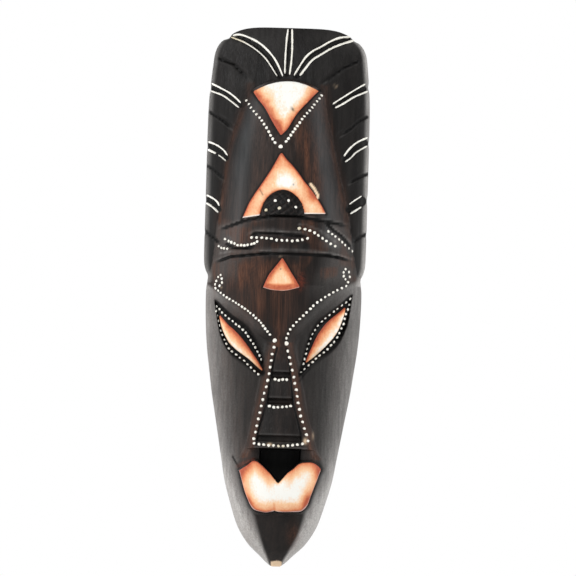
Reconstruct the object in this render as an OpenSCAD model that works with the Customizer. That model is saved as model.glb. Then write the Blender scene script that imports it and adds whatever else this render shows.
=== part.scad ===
// Carved wooden wall mask: a tall stylised face under a domed crown and a grooved hood,
// hollowed at the back, with painted panels, lines and rows of raised paint drops,
// and a D-ring hanger screwed to a shelf in the hollow.
// Millimetres. +Z up, face towards -Y, wall plane at y = 0, x = 0 on the centre line.
// Heights in the lists are above the chin tip; the whole mask is then moved so that
// the hook's point on the wall is the origin.

/* [Mask] */
// Height of the mask, chin tip to top edge
mask_height = 500; // [400:5:600]
// Width of the mask across the hood
mask_width = 150; // [120:1:180]
// Depth of the mask, wall to the nose
mask_depth = 78; // [62:1:94]
// Depth of the side wall along the face and chin
side_depth = 17; // [14:0.5:20]
// Depth of the side wall along the hood
hood_side_depth = 20; // [17:0.5:24]
// How far the side wall slopes in towards the wall plane
back_bevel = 1.5; // [0.5:0.1:3]

/* [Crown and hood] */
// Height of the hood's centre line above its side wall
hood_rise = 19; // [14:1:23]
// Height of the crown's centre line above the side wall
crown_rise = 44; // [36:1:50]
// Roundness of the crown and hood across the mask: 2 is round, more is boxier
crown_power = 2.7; // [2.1:0.1:4]
// Rise of the half-dome boss in the crown triangle
boss_rise = 5; // [2:0.5:8]
// Half width of the boss
boss_radius = 20; // [16:0.5:24]
// Height of the boss
boss_height = 23; // [18:0.5:27]

/* [Face] */
// Roundness of the face across the mask: 2 is round, more is boxier
face_power = 2.4; // [2:0.1:3.5]
// How far the nose stands out at its lower tier
nose_rise = 13; // [9:0.5:15]
// Depth of each notch between the nose tiers
nose_notch = 4; // [2:0.5:6]
// Bulge at the lower end of each nose tier
nose_bulge = 3; // [1:0.5:4]
// Depth of the eye sockets
socket_depth = 4.5; // [3:0.5:7]
// Rise of the lid mound in each socket
eyeball_rise = 2.5; // [1:0.5:4]
// How far the lips stand out
lips_rise = 7; // [4:0.5:9]
// Distance from the wall plane to the mouth's floor
mouth_floor = 36; // [33:1:44]

/* [Hollow back] */
// Width of the flat rim round the hollow
rim_width = 14; // [11:0.5:17]
// Greatest depth of the hollow
hollow_depth = 38; // [26:1:40]
// Depth of the flat shelf that the hanger stands on
shelf_depth = 8; // [7:0.5:10]

/* [Paint] */
// How far a painted panel stands above the wood
paint_lift = 0.5; // [0.3:0.1:1]
// How far a painted panel is sunk in the wood
paint_sink = 0.7; // [0.5:0.1:1.2]
// Width of a painted line
line_width = 1.7; // [1:0.1:2.4]
// Diameter of a paint drop on the crown, nose and band
drop_d = 3.1; // [2:0.1:3.4]
// Diameter of a paint drop along the brows and lids
small_drop_d = 2.5; // [1.8:0.1:2.8]
// Diameter of the large drops
large_drop_d = 3.9; // [3:0.1:4.4]
// Height of a paint drop above the wood
drop_rise = 1.1; // [0.6:0.1:1.6]
// How far a paint drop is sunk in the wood
drop_sink = 0.9; // [0.6:0.1:1.4]

/* [Hanger] */
// Height of the ring's pivot above the chin tip
pivot_h = 459; // [452:0.5:460]
// Width of the strap
strap_w = 10; // [8:0.5:11]
// Thickness of the strap
strap_t = 1; // [0.8:0.1:1.2]
// Length of the strap below the pivot
strap_len = 19; // [18:0.5:22]
// Diameter of the ring's wire
wire_d = 2; // [1.6:0.1:2.2]
// Clearance round the wire in the strap's eye
eye_clear = 0.15; // [0.1:0.05:0.25]
// Inside width of the ring
ring_in_w = 13.5; // [12.5:0.5:16]
// Inside length of the ring, from the pivot
ring_in_len = 16; // [15:0.5:17]
// Distance from the pivot to the screw
screw_drop = 11; // [10:0.5:11.5]
// Diameter of the screw head
head_d = 6.5; // [5:0.5:7]
// Height of the screw head
head_t = 1.8; // [1.4:0.1:2.2]
// Diameter of the screw's shank
shank_d = 3; // [2.5:0.1:3.5]
// Depth of the screw in the wood
screw_in = 12; // [8:0.5:13]
// Width of the screw's driver slot
slot_w = 1; // [0.8:0.1:1.2]
// Depth of the screw's driver slot
slot_t = 0.8; // [0.6:0.1:1]

/* [Grid] */
// Columns across the carved front, an even number
columns = 50; // [36:2:50]
// Rows up the carved front, an even number
rows = 94; // [64:2:94]

/* [Hidden] */
$fn = 24;

// The lists are for a mask 500 high, 150 wide and 78 deep; these scale them.
kz = mask_height / 500;
kx = mask_width / 150;
ky = mask_depth / 78;

// Outline: [height, half width]
OUTLINE = [[0, 4], [2, 7], [5, 10.5], [10, 15.5], [15, 21], [20, 26], [30, 33], [40, 38],
    [60, 44.5], [80, 50], [100, 53.5], [120, 57], [140, 60.5], [160, 64], [180, 66.8],
    [200, 69.5], [220, 71.2], [240, 72], [255, 72], [262, 71.2], [268, 70.8], [273, 73],
    [280, 74.6], [300, 75], [350, 75], [400, 75], [430, 74.5], [450, 73], [465, 71.5],
    [475, 70], [482, 67], [487, 62.5], [490, 58]];
side_top = 490;       // height of the top edge at the hood's corners
top_bend = 9.5;       // rise of the top edge from the corners to the centre
top_power = 5;        // roundness of the top edge
top_zone = 35;        // height over which the rows take up the top edge's curve
hood_ref = 72;        // half width used for the hood's section above its shoulder
hood_foot = 269;      // height where the hood ends above the temples
hood_skew = 0.03;     // how much higher the hood's foot is on the right

// Crown: [height, half width], and its lean: [height, sideways shift]
CROWN = [[262, 71.2], [271, 69.5], [280, 67.5], [290, 65.8], [300, 64.5], [325, 61.5],
    [350, 57.5], [380, 52.5], [400, 48.5], [420, 43], [430, 40.5], [440, 38.5], [453, 36.5]];
LEAN = [[262, 0], [290, -1], [330, -2.5], [385, -5.5], [420, -4.5], [440, -2.5], [500, -1.5]];
// Top edge of the crown: [distance from its centre line, height]
ARCH = [[0, 453.3], [8, 452.9], [15, 451.5], [22, 449], [28, 445.8], [33, 442], [37, 437],
    [40, 430], [44, 415], [50, 400], [60, 340]];
crown_step = 1.6;     // height over which the crown drops to the hood at that edge

// Depth along the centre line without the nose: [height, depth]
PROFILE = [[0, 13], [5, 20], [15, 31], [30, 41], [44, 48], [60, 54], [80, 57.5], [100, 59.5],
    [130, 60.5], [180, 60.5], [210, 59.5], [230, 58.5], [250, 59], [270, 60.5], [290, 62],
    [325, 62.5], [345, 61.5], [383, 58], [420, 51.5], [440, 46], [452.3, 42.5], [500, 38]];
// Depth of the cheeks along the centre line: [height, depth]
CHEEK = [[0, 12], [15, 27], [30, 36], [50, 42], [80, 45], [110, 46], [180, 46], [210, 48],
    [230, 51], [250, 56], [262, 59.5], [275, 61]];
// Side wall: share of side_depth along the chin: [height, share]
CHIN_SIDE = [[0, 0.5], [20, 0.65], [60, 0.9], [110, 1], [500, 1]];
// Hood's centre line: share of hood_rise: [height, share]
HOOD = [[266, 1.05], [330, 1], [400, 0.95], [440, 0.84], [460, 0.65], [480, 0.4], [500, 0.1]];
// Nose: share of nose_rise: [height, share]
NOSE = [[108, 1], [122, 1], [150, 0.68], [180, 0.35], [208, 0.05], [222, 0]];
nose_foot = 108;      // height of the nose's underside
// Tiers of the nose: [height, share of the notch (below 0) or of the bulge (above 0)]
TIERS = [[115.5, 0], [116.5, -1], [120.5, -1], [122, 1.2], [128, 0.7], [149, 0], [150.5, 0],
    [151.5, -1], [155, -1], [156.5, 1], [161, 0.7], [174, 0], [176, -1], [179.5, -1],
    [181, 0.8], [185, 0.5], [205, 0]];
// Half width of the tiers between the side rails: [height, half width]
TIER_HALF = [[112, 20.5], [122, 19.5], [150, 12], [157, 10.8], [180, 8], [195, 5.5], [205, 3]];

// Edge of the raised forehead, nose, muzzle, lips and keel: [height, x], left and right
EDGE_LEFT = [[0, -3.5], [5, -5], [18, -10], [30, -14], [46, -19], [51, -21.5], [54, -24],
    [60, -27], [67, -30.5], [75, -33], [84, -35.5], [90, -36], [100, -31], [110, -26],
    [122, -22.7], [133, -20.7], [145, -18.2], [160, -15.3], [174, -12.7], [186, -10.7],
    [197, -9.2], [204, -7.6], [209, -7.4], [215, -12], [219, -15], [226, -21], [233, -28.5],
    [239, -37], [247, -50], [254, -60], [258, -66], [264, -76], [275, -95]];
EDGE_RIGHT = [[0, 3.5], [6, 5], [16, 10.5], [30, 17.5], [46, 22.5], [51, 23.5], [54, 26],
    [58, 28.5], [64, 30.5], [70, 32.5], [77, 34.5], [84, 37], [90, 39.5], [97, 37],
    [105, 31], [112, 28], [124, 25], [134, 21.3], [145, 18.3], [156, 15.8], [169, 13],
    [178, 11.2], [189, 8.6], [199, 5.6], [207, 4.2], [212, 4.3], [217, 6], [224, 10],
    [229, 14.5], [233, 18.5], [238, 23], [246, 31.5], [252, 39.5], [258, 49.5], [262, 57],
    [266, 63], [271, 74], [282, 95]];
// Distance sideways over which that edge falls to the cheek: [height, distance]
FALL = [[0, 5], [60, 6], [100, 6], [150, 7], [190, 8], [205, 10], [215, 14], [230, 21],
    [262, 24]];

// Eye sockets: upper and lower edges, [x, height]
SOCKET_LEFT_UP = [[-64, 246], [-62, 245.5], [-55, 239], [-48, 233], [-40, 227.5], [-34, 223],
    [-28, 216], [-23, 208], [-19, 200], [-17, 191], [-15.5, 180]];
SOCKET_LEFT_LOW = [[-64, 245], [-62, 233], [-60, 222], [-57, 211], [-52, 201], [-46, 194],
    [-40, 190], [-30, 183], [-20, 176.5], [-15.5, 176]];
SOCKET_RIGHT_UP = [[15.5, 178], [17, 184], [19.5, 195], [21.5, 204], [25, 216], [31, 226.5],
    [38, 233.5], [46, 240], [55, 247.5], [62, 254], [64, 254.5]];
SOCKET_RIGHT_LOW = [[15.5, 176], [19, 177.5], [24, 183], [30, 188.5], [38, 194.5],
    [45, 199.5], [52, 207], [57, 217], [60.5, 228], [62.5, 243], [64, 253.5]];
socket_slope = 5.5;   // distance over which a socket's wall drops

// Mouth and lips
mouth_left = -18.3;
mouth_right = 20.3;
mouth_top = 109.7;
mouth_wall = 1.5;     // distance over which the mouth's wall drops
LIPS_UP = [[-37, 87], [-33, 91], [-28, 94.5], [-24.5, 97.8], [-21, 98], [-16, 94.5],
    [-11, 90], [-7, 86], [-3, 81], [0, 78.5], [3, 81], [9, 88], [14, 92], [19, 96.5],
    [25, 98], [31, 98], [36, 95.5], [40, 91]];
LIPS_LOW = [[-26, 57], [-24, 54], [-21, 51], [-17, 49.5], [-12, 48.5], [-8, 48.8],
    [-4, 50.3], [0, 50], [6, 49.5], [14, 50], [22, 51], [25, 53.5], [28, 57]];
lips_foot = 47;       // height where the lips' underside meets the keel

// Boss
boss_x = -3;
boss_foot = 325;
boss_step = 1.2;      // height over which the boss's flat foot rises

// Hollow: [height, share of hollow_depth]
HOLLOW = [[24, 0], [40, 0.28], [60, 0.44], [80, 0.52], [110, 0.56], [130, 0.7], [160, 0.82],
    [200, 0.9], [260, 1], [330, 1], [390, 0.88], [414, 0.6], [424, 0.3], [432, 0.15], [490, 0.15]];
shelf_low = 430;      // the shelf is flat above this height
// Heights of the hollow's rows: [share of the rows, height]
HOLLOW_ROW = [[0, 24], [0.03, 27], [0.1, 40], [0.84, 430], [0.955, 478.5], [0.978, 481], [1, 484]];

// ---------------------------------------------------------------- plain functions
function ease(t) = t <= 0 ? 0 : t >= 1 ? 1 : t * t * (3 - 2 * t);
function mix(a, b, t) = a + (b - a) * t;
function bow(t, n) = t >= 1 ? 0 : pow(1 - pow(t, n), 1 / n);
function clamp(v, low, high) = min(max(v, low), high);

// Smooth curve through a list of [position, value] pairs
function slot_of(t, k, i = 0) = i >= len(t) - 2 || k < t[i + 1][0] ? i : slot_of(t, k, i + 1);
function curve(t, k) =
    k <= t[0][0] ? t[0][1] :
    k >= t[len(t) - 1][0] ? t[len(t) - 1][1] :
    let (i = slot_of(t, k), a = t[i], b = t[i + 1], p = t[max(i - 1, 0)],
        n = t[min(i + 2, len(t) - 1)], w = b[0] - a[0], s = (k - a[0]) / w,
        ma = (b[1] - p[1]) / (b[0] - p[0]) * w, mb = (n[1] - a[1]) / (n[0] - a[0]) * w)
    (1 + 2 * s) * (1 - s) * (1 - s) * a[1] + s * (1 - s) * (1 - s) * ma
    + s * s * (3 - 2 * s) * b[1] - s * s * (1 - s) * mb;

// ---------------------------------------------------------------- the carved front
// Depth of the front at x and h, in the lists' own units
function hood_at(x, h) =
    h - hood_skew * x < hood_foot ? 0 :
    let (r = abs(x) / (h > 465 ? hood_ref : max(curve(OUTLINE, h), 70)))
    hood_side_depth / ky + hood_rise * curve(HOOD, h) * bow(r, crown_power);

function side_at(h) = h > 262 ? mix(side_depth, hood_side_depth, ease((h - 262) / 15)) / ky
    : side_depth / ky * curve(CHIN_SIDE, h);

function crown_scale(h) = mix(1, crown_rise / 44, ease((h - 270) / 60));

function raised_at(x, h) =
    let (s = side_at(h),
        half = h < 262 ? curve(OUTLINE, h) : curve(CROWN, h),
        off = abs(x - (h > 262 ? curve(LEAN, h) : 0)),
        n = mix(face_power, crown_power, ease((h - 250) / 40)),
        nose = nose_rise * curve(NOSE, h) * ease((h - nose_foot) / 1.5),
        tier = lookup(h, TIERS),
        inner = ease((curve(TIER_HALF, h) - abs(x + 0.3)) / (2 * tier_side) + 0.5),
        step = h > 112 && h < 206 ? inner * tier * (tier < 0 ? nose_notch : nose_bulge) : 0,
        lips = h > 44 && h < 102 ? lips_rise * ease((h - curve(LIPS_LOW, x) + 2.5) / 2.5)
            * ease((curve(LIPS_UP, x) + 2 - h) / 2) : 0,
        rise = (curve(PROFILE, h) - s) * crown_scale(h) + nose + step + lips)
    (s + rise * bow(off / half, n)) * (h < 340 ? 1 : ease((curve(ARCH, off) - h) / crown_step));

function cheek_at(x, h) =
    let (s = side_at(h))
    s + (curve(CHEEK, h) - s) * bow(abs(x) / curve(OUTLINE, h), face_power);

function socket_share(x, h) =
    let (low = x < 0 ? curve(SOCKET_LEFT_LOW, x) : curve(SOCKET_RIGHT_LOW, x),
        up = x < 0 ? curve(SOCKET_LEFT_UP, x) : curve(SOCKET_RIGHT_UP, x))
    abs(x) < 15.5 || abs(x) > 64 ? 0 : ease(min(up - h, h - low) * 0.7 / socket_slope);

function lid_share(x, h) =
    let (low = x < 0 ? curve(SOCKET_LEFT_LOW, x) : curve(SOCKET_RIGHT_LOW, x),
        up = x < 0 ? curve(SOCKET_LEFT_UP, x) : curve(SOCKET_RIGHT_UP, x))
    abs(x) < 15.5 || abs(x) > 64 ? 0 : ease((min(up - h, h - low) * 0.7 - 3) / 6);

function mouth_share(x, h) =
    ease(min(x - mouth_left, mouth_right - x, mouth_top - h, h - curve(LIPS_UP, x)) / mouth_wall);

function boss_at(x, h) =
    let (up = h - boss_foot,
        q = 1 - pow((x - boss_x) / boss_radius, 2) - pow(up / boss_height, 2))
    up < 0 || q <= 0 ? 0 : boss_rise * sqrt(q) * ease(up / boss_step);

function front_at(x, h) =
    let (beside = x < 0 ? curve(EDGE_LEFT, h) - x : x - curve(EDGE_RIGHT, h),
        raised = raised_at(x, h),
        out = h > 282 || beside <= 0 ? 0 : ease(beside / curve(FALL, h)),
        face = out > 0 ? mix(raised, cheek_at(x, h), out) : raised,
        eyes = h > 175 && h < 256 ? eyeball_rise * lid_share(x, h)
            - socket_depth * socket_share(x, h) : 0,
        mouth = h > 76 && h < mouth_top && x > mouth_left && x < mouth_right ?
            mouth_share(x, h) : 0)
    max(mix(face + eyes, mouth_floor, mouth) + boss_at(x, h), hood_at(x, h));

// Depth of the front in millimetres at a finished point
function front(x, z) = ky * front_at(x / kx, z / kz);

// ---------------------------------------------------------------- the closed body
// Rows lie along the edges of the lips, the nose, its tiers and the boss: [row of 94, height]
ROW_H = [[0, 0], [1, 2], [2, 6], [3, 11], [4, 17], [5, 24], [7, 38], [8, 45], [9, 47.3],
    [10, 49.8], [12, 58], [15, 73], [19, 94], [20, 97.6], [21, 99.2], [23, 104], [24, 108.2],
    [25, 109.7], [27, 115.4],
    [28, 116.7], [29, 120.4], [30, 122], [34, 137], [37, 149], [38, 151.4], [39, 155],
    [40, 156.6], [44, 174], [45, 176], [46, 179.4], [47, 181], [62, 250], [63, 256],
    [65, 268], [66, 275], [69, 290], [73, 325], [74, 326.3], [77, 339], [80, 349], [83, 385],
    [85, 415], [87, 438], [88, 446.5], [89, 451.6], [90, 453.4], [91, 464.5], [92, 475.5],
    [93, 482.5], [94, 490]];
function row_h(v) = lookup(v * 94, ROW_H);
// The rows at the mouth dip to follow the lips' upper edge: [height, share of the dip]
MOUTH_SHARE = [[60, 0], [73, 0.4], [85, 0.8], [94, 1], [99.5, 1], [104, 0.35], [108, 0]];
lips_level = 97.8;    // height of the rows that follow that edge, at its corners
// The rows near the crown's top dip to follow its edge: [distance from x = 0, dip], and
// [height, share of the dip]
DIP = [[0, 0], [8, 0.4], [15, 1.8], [22, 4.3], [28, 7.5], [33, 11.3], [37, 16.3], [40, 20],
    [46, 18], [60, 6], [72, 0]];
DIP_SHARE = [[385, 0], [415, 0.35], [438, 0.75], [446, 0.95], [450, 1], [454, 1], [464, 0.6],
    [480, 0.1], [483, 0]];
// Two columns follow the raised face's edge and two its foot: [height, x of the edge]
COLUMN_LEFT = concat([[0, -1.5]], [for (e = EDGE_LEFT) if (e[0] > 0 && e[0] < 250) e],
    [[256, -56], [264, -55], [275, -47], [300, -30], [330, -24], [500, -24]]);
COLUMN_RIGHT = concat([[0, 1.5]], [for (e = EDGE_RIGHT) if (e[0] > 0 && e[0] < 255) e],
    [[258, 46], [266, 52], [275, 47], [300, 30], [330, 24], [500, 24]]);
COLUMN_STEP = [[0, 1], [5, 2.2], [15, 4], [60, 6], [150, 7], [205, 10], [230, 14], [262, 10], [300, 7]];
TIER_SHARE = [[84, 0], [97, 1], [205, 1], [225, 0]];
tier_side = 0.75;     // half the width of the tiers' side wall
mid_share = 0.32;     // share of the columns between the two edges
foot_share = 0.4;     // share of the columns between the two feet
function col_x(u, h, w) =
    let (a = curve(u < 0 ? COLUMN_LEFT : COLUMN_RIGHT, h), s = u < 0 ? -1 : 1,
        l = curve(COLUMN_LEFT, h), r = curve(COLUMN_RIGHT, h),
        foot = a + s * curve(COLUMN_STEP, h), t = (1 - abs(u)) / (1 - foot_share),
        f = (u / mid_share + 1) / 2, low = h < 111,
        tl = low ? mouth_left + tier_side : -0.3 - curve(TIER_HALF, h),
        tr = low ? mouth_right - tier_side : curve(TIER_HALF, h) - 0.3,
        // columns 3 and 4 from each edge follow the sides of the mouth and the tiers
        inner = lookup(f, [[0, l], [3 / 16, tl - tier_side], [4 / 16, tl + tier_side],
            [12 / 16, tr - tier_side], [13 / 16, tr + tier_side], [1, r]]))
    abs(u) <= mid_share ? mix(mix(l, r, f), inner, lookup(h, TIER_SHARE)) :
    abs(u) <= foot_share ? mix(a, foot, (abs(u) - mid_share) / (foot_share - mid_share)) :
    mix(s * w, foot, t * (0.72 + 0.28 * t));
// The back's columns are closer together at the sides
function col_u(u) = 0.62 * u + 0.38 * sin(90 * u);
function bent(x, g, h, w) =
    h + top_bend * (1 - pow(abs(g), top_power)) * ease((h - side_top + top_zone) / top_zone)
    - (h > 385 && h < 483 ? curve(DIP, abs(x - curve(LEAN, h))) * curve(DIP_SHARE, h) : 0)
    - (h > 60 && h < 108 ? (lips_level - curve(LIPS_UP, x)) * lookup(h, MOUTH_SHARE)
        * ease((w - abs(x)) / 14) : 0);
// The outermost 8 % of each side is rounded over
edge_round = 3.5;
function rounding(g, v) =
    edge_round * (pow(max(abs(g) - 0.9, 0) / 0.1, 2) + pow(max(v - 0.975, 0) / 0.025, 2)) / 2;

function front_point(i, j, last) =
    let (v = j / rows, h0 = row_h(v), w = curve(OUTLINE, h0),
        x = col_x(2 * i / columns - 1, h0, w), g = x / w, h = bent(x, g, h0, w))
    last ? [w * g * kx * (1 - back_bevel / max(w, 10)), 0,
        (h + (v >= 1 ? -back_bevel : v <= 0 ? back_bevel / 2 : 0)) * kz]
    : [x * kx, -ky * max(front_at(x * 0.999, min(h, 499.4)) - rounding(g, v), 5), h * kz];

// The back uses half as many columns and rows
bc = columns / 2;
br = rows / 2;
function hollow_at(x, h, half) =
    let (across = sqrt(max(1 - pow(abs(x) / half, 3), 0)),
        deep = hollow_depth * curve(HOLLOW, h) * across)
    h >= shelf_low ? min(shelf_depth, max(deep * 40, 0)) :
    max(min(deep, hollow_depth), h > 414 ? min(shelf_depth, deep * 4) : 0);
function hollow_point(i, j) =
    let (g = col_u(2 * i / bc - 1), v = j / br,
        h = lookup(v, HOLLOW_ROW),
        half = curve(OUTLINE, h) - rim_width, x = half * g,
        edge = i == 0 || i == bc || j == 0 || j == br)
    [x * kx, edge ? 0 : -hollow_at(x, h, half), h * kz];

front_count = (columns + 1) * (rows + 1);
function f_at(i, j) = j * (columns + 1) + i;
// A loop of grid places round the border, starting at the lower left and going right
function loop(nc, nr) = concat(
    [for (i = [0 : nc - 1]) [i, 0]], [for (j = [0 : nr - 1]) [nc, j]],
    [for (i = [nc : -1 : 1]) [i, nr]], [for (j = [nr : -1 : 1]) [0, j]]);
FRONT_LOOP = loop(columns, rows);
BACK_LOOP = loop(bc, br);
back_len = len(BACK_LOOP);
rim_start = front_count;
hollow_start = front_count + back_len;
function b_at(i, j) = hollow_start + j * (bc + 1) + i;

module body_solid() {
    points = concat(
        [for (j = [0 : rows]) for (i = [0 : columns]) front_point(i, j, false)],
        [for (p = BACK_LOOP) front_point(2 * p[0], 2 * p[1], true)],
        [for (j = [0 : br]) for (i = [0 : bc]) hollow_point(i, j)]);
    front_faces = [for (j = [0 : rows - 1]) for (i = [0 : columns - 1])
        let (a = f_at(i, j), b = f_at(i + 1, j), c = f_at(i + 1, j + 1), d = f_at(i, j + 1))
        // each cell is split along its flatter diagonal
        each abs(points[b][1] - points[d][1]) < abs(points[a][1] - points[c][1]) ?
            [[a, d, b], [b, d, c]] : [[a, d, c], [a, c, b]]];
    wall_faces = [for (k = [0 : back_len - 1])
        let (n = (k + 1) % back_len, p = FRONT_LOOP[2 * k], q = FRONT_LOOP[2 * k + 1],
            r = FRONT_LOOP[(2 * k + 2) % (2 * back_len)],
            a = f_at(p[0], p[1]), m = f_at(q[0], q[1]), b = f_at(r[0], r[1]))
        each [[a, m, rim_start + k], [m, rim_start + n, rim_start + k], [m, b, rim_start + n]]];
    rim_faces = [for (k = [0 : back_len - 1])
        let (n = (k + 1) % back_len, a = rim_start + k, b = rim_start + n,
            c = b_at(BACK_LOOP[n][0], BACK_LOOP[n][1]),
            d = b_at(BACK_LOOP[k][0], BACK_LOOP[k][1]))
        each [[a, b, d], [b, c, d]]];
    hollow_faces = [for (j = [0 : br - 1]) for (i = [0 : bc - 1])
        let (a = b_at(i, j), b = b_at(i + 1, j), c = b_at(i + 1, j + 1), d = b_at(i, j + 1))
        each (i + j) % 2 == 0 ? [[a, b, d], [b, c, d]] : [[a, c, d], [a, b, c]]];
    polyhedron(points, concat(front_faces, wall_faces, rim_faces, hollow_faces), 4);
}

// ---------------------------------------------------------------- hook and hanger places
pivot_z = pivot_h * kz;
wire_r = wire_d / 2;
eye_r = wire_r + eye_clear;
pivot_y = -(shelf_depth - strap_t - eye_r);
hook_z = pivot_z + ring_in_len;
screw_z = pivot_z - screw_drop;

module place() translate([0, 0, -hook_z]) children();

// ---------------------------------------------------------------- paint shapes
// A thin solid over the surface between two borders of [x, h] points, each the same
// length; bulge lifts the far end of the sheet along h
function between(A, B, s, t, bulge) =
    let (p = mix(walk(A, s), walk(B, s), t)) [p[0], p[1] + bulge * 4 * t * (1 - t) * s * s];
function lengths(P, i = 0) = i >= len(P) - 1 ? [] :
    concat([norm(P[i + 1] - P[i])], lengths(P, i + 1));
function total(L, n) = n <= 0 ? 0 : L[n - 1] + total(L, n - 1);
function walk_find(P, L, d, i) = i >= len(L) - 1 || d <= L[i] ? mix(P[i], P[i + 1], min(d / L[i], 1))
    : walk_find(P, L, d - L[i], i + 1);
function walk(P, s) = let (L = lengths(P)) walk_find(P, L, s * total(L, len(L)), 0);

module sheet(A, B, ns, nt, bulge = 0, lift = paint_lift) {
    side = ns + 1;
    count = side * (nt + 1);
    grid = [for (j = [0 : nt]) for (i = [0 : ns]) between(A, B, i / ns, j / nt, bulge)];
    points = concat(
        [for (p = grid) [p[0] * kx, -ky * front_at(p[0], p[1]) - lift, p[1] * kz]],
        [for (p = grid) [p[0] * kx, -ky * front_at(p[0], p[1]) + paint_sink, p[1] * kz]]);
    tops = [for (j = [0 : nt - 1]) for (i = [0 : ns - 1])
        let (a = j * side + i, b = a + 1, c = b + side, d = a + side)
        each [[a, b, c], [a, c, d]]];
    bottoms = [for (f = tops) [f[0] + count, f[2] + count, f[1] + count]];
    border = concat([for (i = [0 : ns - 1]) i], [for (j = [0 : nt - 1]) j * side + ns],
        [for (i = [ns : -1 : 1]) nt * side + i], [for (j = [nt : -1 : 1]) j * side]);
    walls = [for (k = [0 : len(border) - 1])
        let (a = border[k], b = border[(k + 1) % len(border)])
        each [[a, a + count, b + count], [a, b + count, b]]];
    polyhedron(points, concat(tops, bottoms, walls), 4);
}

// A painted line of even width along [x, h] points
function across(P, i) = let (a = P[max(i - 1, 0)], b = P[min(i + 1, len(P) - 1)], d = b - a)
    [d[1], -d[0]] / norm(d);
module stroke(P, w = line_width, pieces = 8) {
    Q = [for (k = [0 : pieces]) walk(P, k / pieces)];
    sheet([for (i = [0 : pieces]) Q[i] - across(Q, i) * w / 2],
        [for (i = [0 : pieces]) Q[i] + across(Q, i) * w / 2], pieces, 1);
}

// A raised paint drop at x and h
module drop(x, h, d) {
    translate([x * kx, -ky * front_at(x, h) + drop_sink, h * kz]) rotate([90, 0, 0])
        cylinder(h = drop_sink + drop_rise, d1 = d, d2 = d * 0.6);
}
// An even row of drops along [x, h] points: n of them at the lists' own size, and as many
// as keep that spacing when the row is longer or shorter
module drop_row(P, n, d) {
    listed = lengths(P);
    scaled = lengths([for (p = P) [p[0] * kx, p[1] * kz]]);
    pitch = total(listed, len(listed)) / (n - 1);
    gaps = max(1, floor(total(scaled, len(scaled)) / pitch + 0.001));
    for (k = [0 : gaps]) let (p = walk(P, k / gaps)) drop(p[0], p[1], d);
}

bone = [0.93, 0.91, 0.86];
cream = [0.95, 0.84, 0.66];
orange = [0.83, 0.42, 0.27];
black_wood = [0.17, 0.15, 0.14];
steel = [0.72, 0.73, 0.74];

// ---------------------------------------------------------------- the carving
module mask_body() {
    color(black_wood) place() difference() {
        body_solid();
        translate([0, -shelf_depth + 1, screw_z]) rotate([90, 0, 0])
            cylinder(h = screw_in + 1.5, d = shank_d);
    }
}

// ---------------------------------------------------------------- painted panels
module crown_fan_panel() {
    color(cream) place() sheet(
        [[-7.3, 400], [-11, 405.5], [-17, 415], [-23, 425], [-30, 433.5], [-34.5, 439.5]],
        [[-6.7, 400], [-1, 406], [3, 413], [8, 421], [14, 428], [21, 435.5], [27.5, 442]],
        10, 12, 9.5);
}

module crown_triangle_panel() {
    color(cream) place() sheet(
        [[-40.5, 322], [-35, 335.5], [-30, 344.5], [-25, 352], [-20, 360], [-15, 368],
            [-10, 377.5], [-6, 383.5], [-1, 378], [4, 373], [10, 366], [16, 358], [22, 351],
            [28, 343], [33, 335.5], [37, 328]],
        [[-24.5, 325], [-22.5, 332], [-20, 338.5], [-16, 343.5], [-11, 347.2], [-5, 349],
            [1, 348.6], [6, 346], [10.5, 342], [14, 337], [16, 331.5], [17, 327.5]],
        26, 5);
}

module brow_triangle_panel() {
    color(orange) place() sheet(
        [[-2, 286], [0.8, 282], [3.5, 277.8], [7.5, 271.5], [11.5, 265.5], [15, 259.7]],
        [[-2.6, 286], [-6, 281.3], [-10, 276.2], [-14, 270.8], [-17, 265], [-19.5, 258.3]],
        8, 8, -3.4, paint_lift + 0.5);
}

module eye_panel_left() {
    color(orange) place() sheet(
        [[-58.6, 231.5], [-56, 229], [-50, 222.5], [-45, 218.5], [-38, 211.5], [-32, 204],
            [-27, 197], [-22, 190], [-17, 181.4]],
        [[-59, 230.8], [-58, 225], [-55, 216], [-50, 207], [-44, 201], [-38, 196.5],
            [-30, 191], [-22, 184], [-17.4, 180.8]],
        14, 5);
}

module eye_panel_right() {
    color(orange) place() sheet(
        [[22, 190.3], [24, 196], [28, 206], [32, 215], [37, 223], [42, 229], [47, 233.5],
            [52, 237.5], [56.8, 242]],
        [[22.4, 189.6], [29, 194.5], [35, 200], [41, 206], [47, 213], [52, 221], [55, 229.5],
            [57, 236], [57.4, 241.4]],
        14, 5);
}

module lips_panel() {
    color(cream) place() sheet(
        [[-36.5, 88], [-33, 90.5], [-28, 94], [-24.5, 97], [-21, 97.2], [-16, 93.8],
            [-11, 89.3], [-7, 85.3], [-3, 80.3], [0, 77.5], [3, 80.3], [9, 87.3], [14, 91.2],
            [19, 95.7], [25, 97.2], [31, 97.2], [36, 94.7], [39.3, 91.5]],
        [[-36, 86.8], [-34, 80], [-32, 73], [-30, 67], [-27, 60], [-24, 54.5], [-21, 51.8],
            [-16, 50.5], [-10, 49.8], [-4, 51], [4, 50.6], [12, 50.8], [19, 51.2],
            [22.5, 52], [25.5, 54.5], [28, 58], [30, 64], [32, 70], [34.5, 77], [37, 84],
            [39, 90]],
        32, 6, 0, paint_lift + 0.6);
}

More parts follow.
